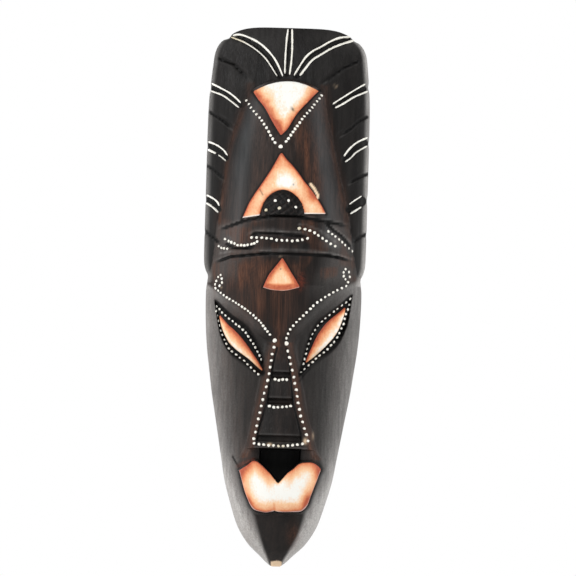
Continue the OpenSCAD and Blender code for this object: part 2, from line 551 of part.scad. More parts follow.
// ---------------------------------------------------------------- painted rays of the hood
module ray_lines_top() {
    color(bone) place() {
        stroke([[-3.5, 497], [-4.5, 485], [-5, 470], [-5, 457]]);
        stroke([[0.5, 497], [1, 480], [0.5, 468], [-0.8, 456]]);
        stroke([[-51, 491.5], [-48, 492], [-40, 489.8], [-30, 485], [-22, 478.5], [-15, 470.5],
            [-10, 461.5], [-7, 454.5]]);
        stroke([[-53, 488.5], [-44, 485.3], [-33, 479], [-24, 471.5], [-18, 463.5], [-12, 454.5]]);
        stroke([[51, 492.5], [45, 491.8], [36, 488], [28, 483], [20, 478.5], [14, 473],
            [8, 463.5], [3.5, 455.5]]);
        stroke([[55, 488.8], [48, 486.5], [38, 482.2], [28, 476], [20, 470.5], [14, 463],
            [8.7, 455.5]]);
    }
}

module ray_lines_left() {
    color(bone) place() {
        stroke([[-70, 444.6], [-65, 442.3], [-57, 438.3], [-50, 433.3], [-45, 428.5]], pieces = 6);
        stroke([[-70, 438], [-62, 435.3], [-54, 430], [-46.3, 424.3]], pieces = 6);
        stroke([[-72.5, 391], [-67, 389.3], [-60, 384.7], [-56, 379.5]], pieces = 5);
        stroke([[-72, 383.5], [-69.5, 382.6], [-66.5, 381.3]], pieces = 2);
        stroke([[-64.5, 380], [-61, 377.8], [-57, 374.5]], line_width * 0.7, 2);
        stroke([[-72.5, 341.2], [-68, 339.3], [-64, 336], [-62, 332.5]], pieces = 4);
        stroke([[-72, 333.5], [-68, 331.3], [-62.5, 326.5]], pieces = 4);
    }
}

module ray_lines_right() {
    color(bone) place() {
        stroke([[67, 448], [60, 443.7], [50, 437], [44, 433], [40, 430]], line_width * 0.8, 6);
        stroke([[69.5, 441.8], [60, 437.5], [50, 431], [42.3, 426.7]], pieces = 6);
        stroke([[70.5, 398.7], [63, 394.7], [56, 388], [52, 382]], pieces = 6);
        stroke([[70.5, 390.7], [63, 386], [58, 380.6], [53, 376.8]], line_width * 0.8, 5);
        stroke([[69.5, 345.8], [64, 342], [58, 337.5]], line_width * 0.8, 4);
        stroke([[69.5, 335.8], [64, 332], [59.3, 329]], pieces = 4);
    }
}

// ---------------------------------------------------------------- raised paint drops
module crown_v_drops() {
    color(bone) place() {
        drop_row([[-39.5, 431], [-34, 422.5], [-26, 414], [-20, 406], [-12.5, 393]], 13, drop_d);
        drop(-7.2, 389.5, large_drop_d);
        drop_row([[-2, 394.3], [1.5, 399.3], [8.5, 410], [14.5, 418.5], [22.5, 428.5],
            [29.5, 438]], 16, drop_d);
    }
}

module crown_boss_drops() {
    color(bone) place() {
        drop(-18.5, 330.5, drop_d);
        drop(-10.5, 339, drop_d);
        drop(2, 339.5, drop_d);
        drop(8.5, 333.5, drop_d);
        drop(-6.5, 332.2, drop_d);
    }
}

module band_drops_left() {
    color(bone) place() {
        drop_row([[-61.5, 295], [-57.5, 293.5], [-53.5, 293]], 4, small_drop_d);
        drop_row([[-55.5, 301.8], [-50, 299.5], [-43, 296.6], [-36, 296.8], [-30, 298.5],
            [-26, 301]], 11, drop_d * 0.9);
    }
}

module band_drops_centre() {
    color(bone) place() drop_row([[-31.5, 304.5], [-22.5, 304.7], [-13, 303.7], [-4.5, 302.4],
        [6.5, 302.3], [14, 303.3], [20.5, 304.8]], 12, drop_d);
}

module band_drops_right() {
    color(bone) place() {
        drop(12.5, 314, large_drop_d);
        drop_row([[18, 313.5], [24, 312], [30, 308.5], [38, 303], [46, 298.5]], 8, drop_d);
        drop_row([[39.5, 312], [47, 307], [54, 301], [62, 294.5]], 8, small_drop_d);
    }
}

module brow_drops_left() {
    color(bone) place() {
        drop_row([[-59.5, 258.5], [-57, 263], [-59, 269], [-62, 266], [-63.8, 260],
            [-63, 256.3]], 8, small_drop_d);
        drop_row([[-60.5, 254.3], [-52.5, 248], [-45.5, 244.2], [-36, 238.5], [-28.5, 233],
            [-21, 226.5], [-14.5, 218.5], [-12, 215]], 20, small_drop_d);
        drop(-7.2, 209.5, large_drop_d);
    }
}

module brow_drops_right() {
    color(bone) place() {
        drop_row([[59, 265.5], [55.5, 269.5], [54, 273.5], [56.5, 277.7]], 5, small_drop_d);
        drop_row([[60, 275], [60.5, 270.5]], 2, small_drop_d);
        drop_row([[57.5, 262], [49, 257.5], [39, 251.5], [29.5, 244.5], [22.5, 237.7],
            [18.5, 233], [10, 224.5], [5.5, 217.5], [4, 212]], 18, small_drop_d);
        drop(4, 207, large_drop_d);
    }
}

module lid_drops_left() {
    color(bone) place() {
        drop_row([[-61.8, 239.8], [-55, 232.5], [-46.5, 226], [-38.5, 220.5], [-33, 214.5],
            [-26.5, 205.3], [-21, 196], [-19, 191.5]], 17, small_drop_d);
        drop_row([[-61.8, 235], [-60, 227], [-57.5, 217.5], [-54, 208.5], [-49.5, 200.5],
            [-43, 196], [-36, 190.5], [-28.5, 184], [-21.5, 177.5]], 17, small_drop_d);
    }
}

module lid_drops_right() {
    color(bone) place() {
        drop_row([[61, 250.3], [54, 243.7], [47.5, 238.3], [41, 233], [33.5, 226.3], [28, 217],
            [24, 206.5], [21.5, 195], [20, 188.5]], 17, small_drop_d);
        drop_row([[61, 244.8], [58.2, 235.5], [56, 226], [52.5, 218], [48, 210], [42, 203],
            [35, 196.5], [28.5, 190.5], [18, 180.8]], 18, small_drop_d);
    }
}

module nose_side_drops_left() {
    color(bone) place() drop_row([[-7.6, 203], [-9, 197], [-11, 180], [-13.5, 166.5],
        [-17, 152.5], [-19.5, 138.5], [-22.5, 122.5], [-23.5, 117.8]], 15, drop_d);
}

module nose_side_drops_right() {
    color(bone) place() drop_row([[5.3, 200], [6.7, 195], [11, 178], [14.5, 163], [18, 145],
        [21, 134], [24.8, 123], [26.3, 117]], 15, drop_d);
}

module nose_bridge_drops() {
    color(bone) place() {
        drop_row([[-5.5, 173.6], [-1.5, 172.8], [5, 173.4]], 4, drop_d);
        drop_row([[-10, 148.7], [-5.5, 147.6], [-2, 147.6], [6, 148.3], [9.8, 149.3]], 6, drop_d);
    }
}

module nose_base_drops() {
    color(bone) place() drop_row([[-23, 113.5], [-15, 112.4], [-6.5, 111.8], [3.5, 112],
        [13, 112.8], [21.5, 114.3]], 11, drop_d * 0.9);
}

// ---------------------------------------------------------------- hanger
// Strap folded round the ring's bar, with the screw's hole
module hanger_strap() {
    roll_r = eye_r + strap_t;
    color(steel) place() translate([0, 0, pivot_z]) difference() {
        union() {
            translate([-strap_w / 2, -shelf_depth, -strap_len])
                cube([strap_w, strap_t, strap_len]);
            translate([-strap_w / 2, pivot_y, 0]) rotate([0, 90, 0])
                cylinder(h = strap_w, r = roll_r);
            translate([-strap_w / 2, -shelf_depth, 0])
                cube([strap_w, roll_r, roll_r * 0.9]);
        }
        translate([-strap_w / 2 - 1, pivot_y, 0]) rotate([0, 90, 0])
            cylinder(h = strap_w + 2, r = eye_r);
        translate([0, -shelf_depth - 1, -screw_drop]) rotate([-90, 0, 0])
            cylinder(h = strap_t + 2, d = shank_d + 0.4);
    }
}

// D-ring, hanging down from the strap's eye round the screw's head
module hanger_ring() {
    bend_r = (ring_in_w + wire_d) / 2;
    leg = ring_in_len - ring_in_w / 2;
    color(steel) place() translate([0, pivot_y, pivot_z]) {
        union() {
            translate([-bend_r, 0, 0]) rotate([0, 90, 0]) cylinder(h = 2 * bend_r, r = wire_r);
            for (side = [-1, 1]) {
                translate([side * bend_r, 0, 0]) sphere(r = wire_r);
                translate([side * bend_r, 0, -leg]) cylinder(h = leg, r = wire_r);
            }
            translate([0, 0, -leg]) rotate([90, 0, 0]) rotate([0, 0, 180])
                rotate_extrude(angle = 180) translate([bend_r, 0]) circle(r = wire_r);
        }
    }
}

// Pan-head screw through the strap into the wood
module hanger_screw() {
    color(steel) place() translate([0, -shelf_depth + strap_t, screw_z]) difference() {
        union() {
            rotate([-90, 0, 0]) cylinder(h = head_t, d = head_d);
            rotate([90, 0, 0]) cylinder(h = strap_t + screw_in, d = shank_d);
        }
        translate([-slot_w / 2, head_t - slot_t, -head_d / 2 - 1])
            cube([slot_w, slot_t + 1, head_d + 2]);
    }
}

mask_body();
hanger_strap();
hanger_ring();
hanger_screw();
crown_fan_panel();
crown_triangle_panel();
brow_triangle_panel();
eye_panel_left();
eye_panel_right();
lips_panel();
ray_lines_top();
ray_lines_left();
ray_lines_right();
crown_v_drops();
crown_boss_drops();
band_drops_left();
band_drops_centre();
band_drops_right();
brow_drops_left();
brow_drops_right();
lid_drops_left();
lid_drops_right();
nose_side_drops_left();
nose_side_drops_right();
nose_bridge_drops();
nose_base_drops();
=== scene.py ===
import math

import bpy
import numpy as np
from bpy.props import FloatProperty, FloatVectorProperty, PointerProperty
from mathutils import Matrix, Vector


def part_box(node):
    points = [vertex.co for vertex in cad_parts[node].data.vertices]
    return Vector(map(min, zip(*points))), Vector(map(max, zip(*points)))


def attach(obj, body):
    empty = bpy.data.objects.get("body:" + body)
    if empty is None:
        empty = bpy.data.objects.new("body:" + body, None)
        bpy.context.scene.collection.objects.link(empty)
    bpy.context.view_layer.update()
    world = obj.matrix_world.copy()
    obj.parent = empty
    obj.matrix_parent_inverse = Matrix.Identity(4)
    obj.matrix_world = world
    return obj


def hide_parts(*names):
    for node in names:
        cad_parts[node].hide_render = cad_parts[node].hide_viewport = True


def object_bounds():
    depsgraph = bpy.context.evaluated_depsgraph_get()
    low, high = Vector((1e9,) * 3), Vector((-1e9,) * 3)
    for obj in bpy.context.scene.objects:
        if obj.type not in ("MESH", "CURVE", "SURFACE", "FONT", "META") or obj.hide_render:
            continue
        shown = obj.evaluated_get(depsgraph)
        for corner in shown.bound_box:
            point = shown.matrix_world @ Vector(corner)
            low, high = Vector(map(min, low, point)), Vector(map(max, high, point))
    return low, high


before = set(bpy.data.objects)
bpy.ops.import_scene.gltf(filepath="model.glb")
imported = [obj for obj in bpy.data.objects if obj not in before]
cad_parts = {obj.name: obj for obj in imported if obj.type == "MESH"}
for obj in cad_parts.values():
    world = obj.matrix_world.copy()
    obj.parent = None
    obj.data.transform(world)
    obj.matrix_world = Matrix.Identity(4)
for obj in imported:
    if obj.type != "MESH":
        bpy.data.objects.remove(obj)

bl_info = {
    "name": "Carved Wall Mask",
    "version": (1, 0, 0),
    "blender": (4, 5, 0),
    "location": "3D View > Sidebar > Mask",
    "description": "Carves, paints and hangs a tall wooden wall mask",
    "category": "Object",
}

# The frame: the whole object's box, the carved body's box, and the scale of the lists below,
# which are for a mask 500 mm high, 150 mm wide and 78 mm deep
CAD_LOW, CAD_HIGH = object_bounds()
BODY_LOW, BODY_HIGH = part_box("mask_body")
KX, KY, KZ = (BODY_HIGH.x - BODY_LOW.x) / 150, 0.001, (BODY_HIGH.z - BODY_LOW.z) / 499.5
CHIN_Z = BODY_LOW.z
# Cells of the front's grid. The hollow has half the columns and a third of the rows
COLUMNS, ROWS = 150, 501
FACE_TOP = 262  # height where the face meets the hood
HOOD_FOOT = 269  # height of the hood's foot
NOSE_X = -0.3  # sideways place of the nose's middle
TOP_H = 499.4  # greatest height that the carving is worked out for
WALL_SHARES = (0.12, 0.4, 0.7, 0.94, 1.0)  # rings of the side wall, from the front back
# the border's grey stain and painted highlight kept on each ring of the side wall
WALL_ASH_AND_HIGHLIGHT = (0.6, 0.32, 0.24, 0.2)  # how much of the border's ash is left on each of them
RAISED, STEP = 0.32, 0.08  # shares of the columns on the raised face and on its fall
SHARP_ANGLE = 50  # edges of the body sharper than this, in degrees, aren't smoothed

# ------------------------------------------------------------------ lists of the carving
# Heights h are millimetres above the chin tip, x is from the centre line.
# Outline: [height, half width]
OUTLINE = [[0, 4], [2, 7], [5, 10.5], [10, 15.5], [15, 21], [20, 26], [30, 33], [40, 38],
    [60, 44.5], [80, 50], [100, 53.5], [120, 57], [140, 60.5], [160, 64], [180, 66.8],
    [200, 69.5], [220, 71.2], [240, 72], [255, 72], [262, 71.2], [268, 70.8], [273, 73],
    [280, 74.6], [300, 75], [350, 75], [400, 75], [430, 74.5], [450, 73], [465, 71.5],
    [475, 70], [482, 67], [487, 62.5], [490, 58]]
# Crown: [height, half width]; its lean: [height, sideways shift]; its top edge: [x, height]
CROWN = [[262, 71.2], [271, 69.5], [280, 67.5], [290, 65.8], [300, 64.5], [325, 61.5],
    [350, 57.5], [380, 52.5], [400, 48.5], [420, 43], [430, 40.5], [440, 38.5], [453, 36.5]]
LEAN = [[262, 0], [290, -1], [330, -2.5], [385, -5.5], [420, -4.5], [440, -2.5], [500, -1.5]]
ARCH = [[0, 453.3], [8, 452.9], [15, 451.5], [22, 449], [28, 445.8], [33, 442], [37, 437],
    [40, 430], [44, 415], [50, 400], [60, 340]]
# Depth along the centre line and along the cheeks: [height, depth]
PROFILE = [[0, 13], [5, 20], [15, 31], [30, 41], [44, 48], [60, 54], [80, 57.5], [100, 59.5],
    [130, 60.5], [180, 60.5], [210, 59.5], [230, 58.5], [250, 59], [270, 60.5], [290, 62],
    [325, 62.5], [345, 61.5], [383, 58], [420, 51.5], [440, 46], [452.3, 42.5], [500, 38]]
CHEEK = [[0, 12], [15, 27], [30, 36], [50, 42], [80, 45], [110, 46], [180, 46], [210, 48],
    [230, 51], [250, 56], [262, 59.5], [275, 61]]
# Shares of the side wall, the hood's rise and the nose's rise: [height, share]
CHIN_SIDE = [[0, 0.5], [20, 0.65], [60, 0.9], [110, 1], [500, 1]]
HOOD = [[266, 1.05], [330, 1], [400, 0.95], [440, 0.84], [460, 0.65], [480, 0.4], [500, 0.1]]
NOSE = [[108, 1], [122, 1], [150, 0.68], [180, 0.35], [208, 0.05], [222, 0]]
# Nose tiers: [height, share of the notch or of the bulge], and their half width
TIERS = [[115.5, 0], [116.5, -1], [120.5, -1], [122, 1.2], [128, 0.7], [149, 0], [150.5, 0],
    [151.5, -1], [155, -1], [156.5, 1], [161, 0.7], [174, 0], [176, -1], [179.5, -1],
    [181, 0.8], [185, 0.5], [205, 0]]
TIER_HALF = [[112, 20.5], [122, 19.5], [150, 12], [157, 10.8], [180, 8], [195, 5.5], [205, 3]]
# Edge of the raised forehead, nose, lips and keel: [height, x], left and right
EDGE_LEFT = [[0, -3.5], [5, -5], [18, -10], [30, -14], [46, -19], [51, -21.5], [54, -24],
    [60, -27], [67, -30.5], [75, -33], [84, -35.5], [90, -36], [100, -31], [110, -26],
    [122, -22.7], [133, -20.7], [145, -18.2], [160, -15.3], [174, -12.7], [186, -10.7],
    [197, -9.2], [204, -7.6], [209, -7.4], [215, -12], [219, -15], [226, -21], [233, -28.5],
    [239, -37], [247, -50], [254, -60], [258, -66], [264, -76], [275, -95]]
EDGE_RIGHT = [[0, 3.5], [6, 5], [16, 10.5], [30, 17.5], [46, 22.5], [51, 23.5], [54, 26],
    [58, 28.5], [64, 30.5], [70, 32.5], [77, 34.5], [84, 37], [90, 39.5], [97, 37],
    [105, 31], [112, 28], [124, 25], [134, 21.3], [145, 18.3], [156, 15.8], [169, 13],
    [178, 11.2], [189, 8.6], [199, 5.6], [207, 4.2], [212, 4.3], [217, 6], [224, 10],
    [229, 14.5], [233, 18.5], [238, 23], [246, 31.5], [252, 39.5], [258, 49.5], [262, 57],
    [266, 63], [271, 74], [282, 95]]
FALL = [[0, 5], [60, 6], [100, 6], [150, 7], [190, 8], [205, 10], [215, 14], [230, 21],
    [262, 24]]
# Eye sockets: upper and lower edges, [x, height]
SOCKET_LEFT_UP = [[-64, 246], [-62, 245.5], [-55, 239], [-48, 233], [-40, 227.5], [-34, 223],
    [-28, 216], [-23, 208], [-19, 200], [-17, 191], [-15.5, 180]]
SOCKET_LEFT_LOW = [[-64, 245], [-62, 233], [-60, 222], [-57, 211], [-52, 201], [-46, 194],
    [-40, 190], [-30, 183], [-20, 176.5], [-15.5, 176]]
SOCKET_RIGHT_UP = [[15.5, 178], [17, 184], [19.5, 195], [21.5, 204], [25, 216], [31, 226.5],
    [38, 233.5], [46, 240], [55, 247.5], [62, 254], [64, 254.5]]
SOCKET_RIGHT_LOW = [[15.5, 176], [19, 177.5], [24, 183], [30, 188.5], [38, 194.5],
    [45, 199.5], [52, 207], [57, 217], [60.5, 228], [62.5, 243], [64, 253.5]]
# Lips: upper and lower edges, [x, height]
LIPS_UP = [[-37, 87], [-33, 91], [-28, 94.5], [-24.5, 97.8], [-21, 98], [-16, 94.5],
    [-11, 90], [-7, 86], [-3, 81], [0, 78.5], [3, 81], [9, 88], [14, 92], [19, 96.5],
    [25, 98], [31, 98], [36, 95.5], [40, 91]]
LIPS_LOW = [[-26, 57], [-24, 54], [-21, 51], [-17, 49.5], [-12, 48.5], [-8, 48.8],
    [-4, 50.3], [0, 50], [6, 49.5], [14, 50], [22, 51], [25, 53.5], [28, 57]]
MOUTH = (-18.3, 20.3, 109.7, 36.0)  # left, right, top, depth of the floor
BOSS = (-3.0, 325.0, 20.0, 23.0, 5.0)  # centre x, foot, half width, height, rise
# Hollow back: [height, share of its depth], and [share of the rows, height]
HOLLOW = [[24, 0], [40, 0.28], [60, 0.44], [80, 0.52], [110, 0.56], [130, 0.7], [160, 0.82],
    [200, 0.9], [260, 1], [330, 1], [390, 0.88], [414, 0.6], [424, 0.3], [432, 0.15], [490, 0.15]]
HOLLOW_ROW = [[0, 24], [0.03, 27], [0.1, 40], [0.84, 430], [0.955, 478.5], [0.978, 481], [1, 484]]
HOLLOW_DEPTH, SHELF_DEPTH, SHELF_LOW, RIM_WIDTH = 38.0, 8.0, 430.0, 14.0

# Rows follow the edges of the lips, nose and boss: [row of 104.5, height]
ROW_H = [[0, 0], [1, 2], [2, 6], [3, 11], [4, 17], [5, 24], [7, 38], [8, 45], [9, 47.3],
    [10, 49.8], [12, 58], [15, 73], [19, 94], [20, 97.6], [21, 99.2], [23, 104], [24, 108.2],
    [25, 109.7], [27, 115.4], [28, 116.7], [29, 120.4], [30, 122], [34, 137], [37, 149],
    [38, 151.4], [39, 155], [40, 156.6], [44, 174], [45, 176], [46, 179.4], [47, 181],
    [62, 250], [63, 256], [65, 268], [66, 275], [69, 290], [73, 325], [74, 326.3], [77, 339],
    [80, 349], [86, 385], [91, 415], [95, 438], [96.5, 446.5], [97.5, 451.6], [98.5, 453.4],
    [100.5, 464.5], [102.5, 475.5], [103.5, 482.5], [104.5, 490]]
LIP_DIP = [[60, 0], [73, 0.4], [85, 0.8], [94, 1], [99.5, 1], [104, 0.35], [108, 0]]
ARCH_DIP = [[0, 0], [8, 0.4], [15, 1.8], [22, 4.3], [28, 7.5], [33, 11.3], [37, 16.3],
    [40, 20], [46, 18], [60, 6], [72, 0]]
ARCH_DIP_SHARE = [[385, 0], [415, 0.35], [438, 0.75], [446, 0.95], [450, 1], [454, 1],
    [464, 0.6], [480, 0.1], [483, 0]]
COLUMN_LEFT = [[0, -1.5]] + [e for e in EDGE_LEFT if 0 < e[0] < 250] + [
    [256, -56], [264, -55], [275, -47], [300, -30], [330, -24], [500, -24]]
COLUMN_RIGHT = [[0, 1.5]] + [e for e in EDGE_RIGHT if 0 < e[0] < 255] + [
    [258, 46], [266, 52], [275, 47], [300, 30], [330, 24], [500, 24]]
COLUMN_STEP = [[0, 1], [5, 2.2], [15, 4], [60, 6], [150, 7], [205, 10], [230, 14], [262, 10],
    [300, 7]]
TIER_SHARE = [[84, 0], [97, 1], [205, 1], [225, 0]]

# Painted rays of the hood: each gouge has a line on either edge, from rim to crown
RAYS_TOP = [
    ([[-3.5, 497], [-4.5, 485], [-5, 470], [-5, 457]],
     [[0.5, 497], [1, 480], [0.5, 468], [-0.8, 456]]),
    ([[-51, 491.5], [-48, 492], [-40, 489.8], [-30, 485], [-22, 478.5], [-15, 470.5],
      [-10, 461.5], [-7, 454.5]],
     [[-53, 488.5], [-44, 485.3], [-33, 479], [-24, 471.5], [-18, 463.5], [-12, 454.5]]),
    ([[51, 492.5], [45, 491.8], [36, 488], [28, 483], [20, 478.5], [14, 473], [8, 463.5],
      [3.5, 455.5]],
     [[55, 488.8], [48, 486.5], [38, 482.2], [28, 476], [20, 470.5], [14, 463],
      [8.7, 455.5]])]
RAYS_LEFT = [
    ([[-70, 444.6], [-65, 442.3], [-57, 438.3], [-50, 433.3], [-45, 428.5]],
     [[-70, 438], [-62, 435.3], [-54, 430], [-46.3, 424.3]]),
    ([[-72.5, 391], [-67, 389.3], [-60, 384.7], [-56, 379.5]],
     [[-72, 383.5], [-66.5, 381.3], [-61, 377.8], [-57, 374.5]]),
    ([[-72.5, 341.2], [-68, 339.3], [-64, 336], [-62, 332.5]],
     [[-72, 333.5], [-68, 331.3], [-62.5, 326.5]])]
RAYS_RIGHT = [
    ([[67, 448], [60, 443.7], [50, 437], [44, 433], [40, 430]],
     [[69.5, 441.8], [60, 437.5], [50, 431], [42.3, 426.7]]),
    ([[70.5, 398.7], [63, 394.7], [56, 388], [52, 382]],
     [[70.5, 390.7], [63, 386], [58, 380.6], [53, 376.8]]),
    ([[69.5, 345.8], [64, 342], [58, 337.5]],
     [[69.5, 335.8], [64, 332], [59.3, 329]])]
# Unpainted grooves of the hood
GROOVES = [
    [[-66, 469], [-61, 467], [-52, 463.5], [-45, 457], [-36, 449.5]],
    [[-73, 419], [-68, 416], [-60, 411], [-52, 404.5]], [[-74, 369], [-69, 367], [-58, 357]],
    [[-75, 309], [-72, 307], [-66, 302.5], [-60, 297]],
    [[62, 470], [57, 468], [48, 463], [40, 457], [30, 449.5]],
    [[72, 419], [65, 415], [58, 408], [48, 401]], [[74, 366], [69, 364], [57, 357]],
    [[74, 310], [68, 307], [62, 302]]]
# Carved lines of the band round the forehead, and its raised ridges
BAND_LINES = [
    [[-62, 310.5], [-50, 315], [-40, 319], [-30, 321.5], [-20, 323.5], [-10, 325], [0, 325.5],
     [10, 325], [20, 323.5], [30, 322], [40, 320.5], [50, 319], [58, 317]],
    [[-65, 280], [-55, 284], [-50, 286], [-40, 287], [-20, 289.5], [0, 290.5], [20, 290],
     [40, 289.5], [50, 288], [62, 285]],
    [[-33, 307], [-20, 308.7], [-10, 308.8], [0, 307.8], [10, 307.3], [20, 307.2]],
    [[36, 321], [43, 314], [52, 307.5], [61, 298]],
    [[-56, 298.5], [-46, 293.8], [-38, 293.8], [-28, 296]]]
BAND_RIDGES = [
    [[-35, 307.5], [-28, 310.3], [-20, 311.2], [-10, 311.2], [0, 310.2], [20, 309.7]],
    [[12, 317.5], [20, 317], [30, 313.5], [40, 307.5], [46, 302.5]],
    [[38, 318], [50, 311], [60, 304], [63, 296]],
    [[-60, 289], [-48, 291], [-30, 291.7], [-10, 293.2], [10, 294], [30, 293], [50, 290.3],
     [62, 287]]]

# Painted panels: two borders of [x, height], the lift at the far end, and the cells along
# and across
PANELS = {
    "crown_fan": (
        [[-7.3, 400], [-11, 405.5], [-17, 415], [-23, 425], [-30, 433.5], [-34.5, 439.5]],
        [[-6.7, 400], [-1, 406], [3, 413], [8, 421], [14, 428], [21, 435.5], [27.5, 442]],
        9.5, 44, 60),
    "crown_triangle": (
        [[-40.5, 322], [-35, 335.5], [-30, 344.5], [-25, 352], [-20, 360], [-15, 368],
         [-10, 377.5], [-6, 383.5], [-1, 378], [4, 373], [10, 366], [16, 358], [22, 351],
         [28, 343], [33, 335.5], [37, 328]],
        [[-24.5, 325], [-22.5, 332], [-20, 338.5], [-16, 343.5], [-11, 347.2], [-5, 349],
         [1, 348.6], [6, 346], [10.5, 342], [14, 337], [16, 331.5], [17, 327.5]],
        0, 150, 30),
    "brow_triangle": (
        [[-2, 286], [0.8, 282], [3.5, 277.8], [7.5, 271.5], [11.5, 265.5], [15, 259.7]],
        [[-2.6, 286], [-6, 281.3], [-10, 276.2], [-14, 270.8], [-17, 265], [-19.5, 258.3]],
        -3.4, 34, 44),
    "eye_left": (
        [[-58.6, 231.5], [-56, 229], [-50, 222.5], [-45, 218.5], [-38, 211.5], [-32, 204],
         [-27, 197], [-22, 190], [-17, 181.4]],
        [[-59, 230.8], [-58, 225], [-55, 216], [-50, 207], [-44, 201], [-38, 196.5],
         [-30, 191], [-22, 184], [-17.4, 180.8]],
        0, 70, 22),
    "eye_right": (
        [[22, 190.3], [24, 196], [28, 206], [32, 215], [37, 223], [42, 229], [47, 233.5],
         [52, 237.5], [56.8, 242]],
        [[22.4, 189.6], [29, 194.5], [35, 200], [41, 206], [47, 213], [52, 221], [55, 229.5],
         [57, 236], [57.4, 241.4]],
        0, 70, 22),
    "lips": (
        [[-36.5, 88], [-33, 90.5], [-28, 94], [-24.5, 97], [-21, 97.2], [-16, 93.8],
         [-11, 89.3], [-7, 85.3], [-3, 80.3], [0, 77.5], [3, 80.3], [9, 87.3], [14, 91.2],
         [19, 95.7], [25, 97.2], [31, 97.2], [36, 94.7], [39.3, 91.5]],
        [[-36, 86.8], [-34, 80], [-32, 73], [-30, 67], [-27, 60], [-24, 54.5], [-21, 51.8],
         [-16, 50.5], [-10, 49.8], [-4, 51], [4, 50.6], [12, 50.8], [19, 51.2],
         [22.5, 52], [25.5, 54.5], [28, 58], [30, 64], [32, 70], [34.5, 77], [37, 84],
         [39, 90]],
        0, 110, 50),
}

# Rows of raised drops: [points, how many, kind]. The kinds are b big, m medium, f fine,
# y medium and yellowed, c medium with a crater
DROPS = {
    "crown_v_drops": [
        ([[-39.5, 431], [-34, 422.5], [-26, 414], [-20, 406], [-12.5, 393]], 13, "m"),
        ([[-7.2, 389.5]], 1, "b"),
        ([[-2, 394.3], [1.5, 399.3], [8.5, 410], [14.5, 418.5], [22.5, 428.5],
          [29.5, 438]], 16, "m")],
    "crown_boss_drops": [
        ([[-18.5, 330.5]], 1, "y"), ([[-10.5, 339]], 1, "m"), ([[2, 339.5]], 1, "m"),
        ([[8.5, 333.5]], 1, "m"), ([[-6.5, 332.2]], 1, "c")],
    "band_drops_left": [
        ([[-61.5, 295], [-57.5, 293.5], [-53.5, 293]], 4, "f"),
        ([[-55.5, 301.8], [-50, 299.5], [-43, 296.6], [-36, 296.8], [-30, 298.5],
          [-26, 301]], 11, "m")],
    "band_drops_centre": [
        ([[-31.5, 304.5], [-22.5, 304.7], [-13, 303.7], [-4.5, 302.4], [6.5, 302.3],
          [14, 303.3], [20.5, 304.8]], 12, "m")],
    "band_drops_right": [
        ([[12.5, 314]], 1, "c"),
        ([[18, 313.5], [24, 312], [30, 308.5], [38, 303], [46, 298.5]], 8, "m"),
        ([[39.5, 312], [47, 307], [54, 301], [62, 294.5]], 8, "f")],
    "brow_drops_left": [
        ([[-59.5, 258.5], [-57, 263], [-59, 269], [-62, 266], [-63.8, 260], [-63, 256.3]],
         8, "f"),
        ([[-60.5, 254.3], [-52.5, 248], [-45.5, 244.2], [-36, 238.5], [-28.5, 233],
          [-21, 226.5], [-14.5, 218.5], [-12, 215]], 20, "f"),
        ([[-7.2, 209.5]], 1, "b")],
    "brow_drops_right": [
        ([[59, 265.5], [55.5, 269.5], [54, 273.5], [56.5, 277.7]], 5, "f"),
        ([[60, 275], [60.5, 270.5]], 2, "f"),
        ([[57.5, 262], [49, 257.5], [39, 251.5], [29.5, 244.5], [22.5, 237.7], [18.5, 233],
          [10, 224.5], [5.5, 217.5], [4, 212]], 18, "f"),
        ([[4, 207]], 1, "b")],
    "lid_drops_left": [
        ([[-61.8, 239.8], [-55, 232.5], [-46.5, 226], [-38.5, 220.5], [-33, 214.5],
          [-26.5, 205.3], [-21, 196], [-19, 191.5]], 17, "f"),
        ([[-61.8, 235], [-60, 227], [-57.5, 217.5], [-54, 208.5], [-49.5, 200.5],
          [-43, 196], [-36, 190.5], [-28.5, 184], [-21.5, 177.5]], 17, "f")],
    "lid_drops_right": [
        ([[61, 250.3], [54, 243.7], [47.5, 238.3], [41, 233], [33.5, 226.3], [28, 217],
          [24, 206.5], [21.5, 195], [20, 188.5]], 17, "f"),
        ([[61, 244.8], [58.2, 235.5], [56, 226], [52.5, 218], [48, 210], [42, 203],
          [35, 196.5], [28.5, 190.5], [18, 180.8]], 18, "f")],
    "nose_side_drops_left": [
        ([[-7.6, 203], [-9, 197], [-11, 180], [-13.5, 166.5], [-17, 152.5], [-19.5, 138.5],
          [-22.5, 122.5], [-23.5, 117.8]], 15, "m")],
    "nose_side_drops_right": [
        ([[5.3, 200], [6.7, 195], [11, 178], [14.5, 163], [18, 145], [21, 134],
          [24.8, 123], [26.3, 117]], 15, "m")],
    "nose_bridge_drops": [
        ([[-5.5, 173.6], [-1.5, 172.8], [5, 173.4]], 4, "m"),
        ([[-10, 148.7], [-5.5, 147.6], [-2, 147.6], [6, 148.3], [9.8, 149.3]], 6, "m")],
    "nose_base_drops": [
        ([[-23, 113.5], [-15, 112.4], [-6.5, 111.8], [3.5, 112], [13, 112.8],
          [21.5, 114.3]], 11, "m")],
}


# ------------------------------------------------------------------ plain arithmetic
def ease(t):
    """Smooth step: 3t^2 - 2t^3 between 0 and 1, level outside."""
    t = np.clip(t, 0, 1)
    return t * t * (3 - 2 * t)


def mix(a, b, t):
    """The value the share t of the way from a to b."""
    return a + (b - a) * t


def bow(t, n):
    """Quarter of a rounded square: the n-th root of 1 - t^n."""
    return np.maximum(1 - np.minimum(t, 1) ** n, 0) ** (1 / n)


def bell(t, n=2):
    """Bell curve: e to the power of -t^n."""
    return np.exp(-t**n)


def spot(x, h, x0, h0, across, up):
    """Bell about a place, with its own reach across and up."""
    return np.exp(-((x - x0) / across) ** 2 - ((h - h0) / up) ** 2)


def between(k, low, fade_in, high, fade_out):
    """1 from low to high, easing in above low and out below high."""
    return ease((k - low) / fade_in) * ease((high - k) / fade_out)


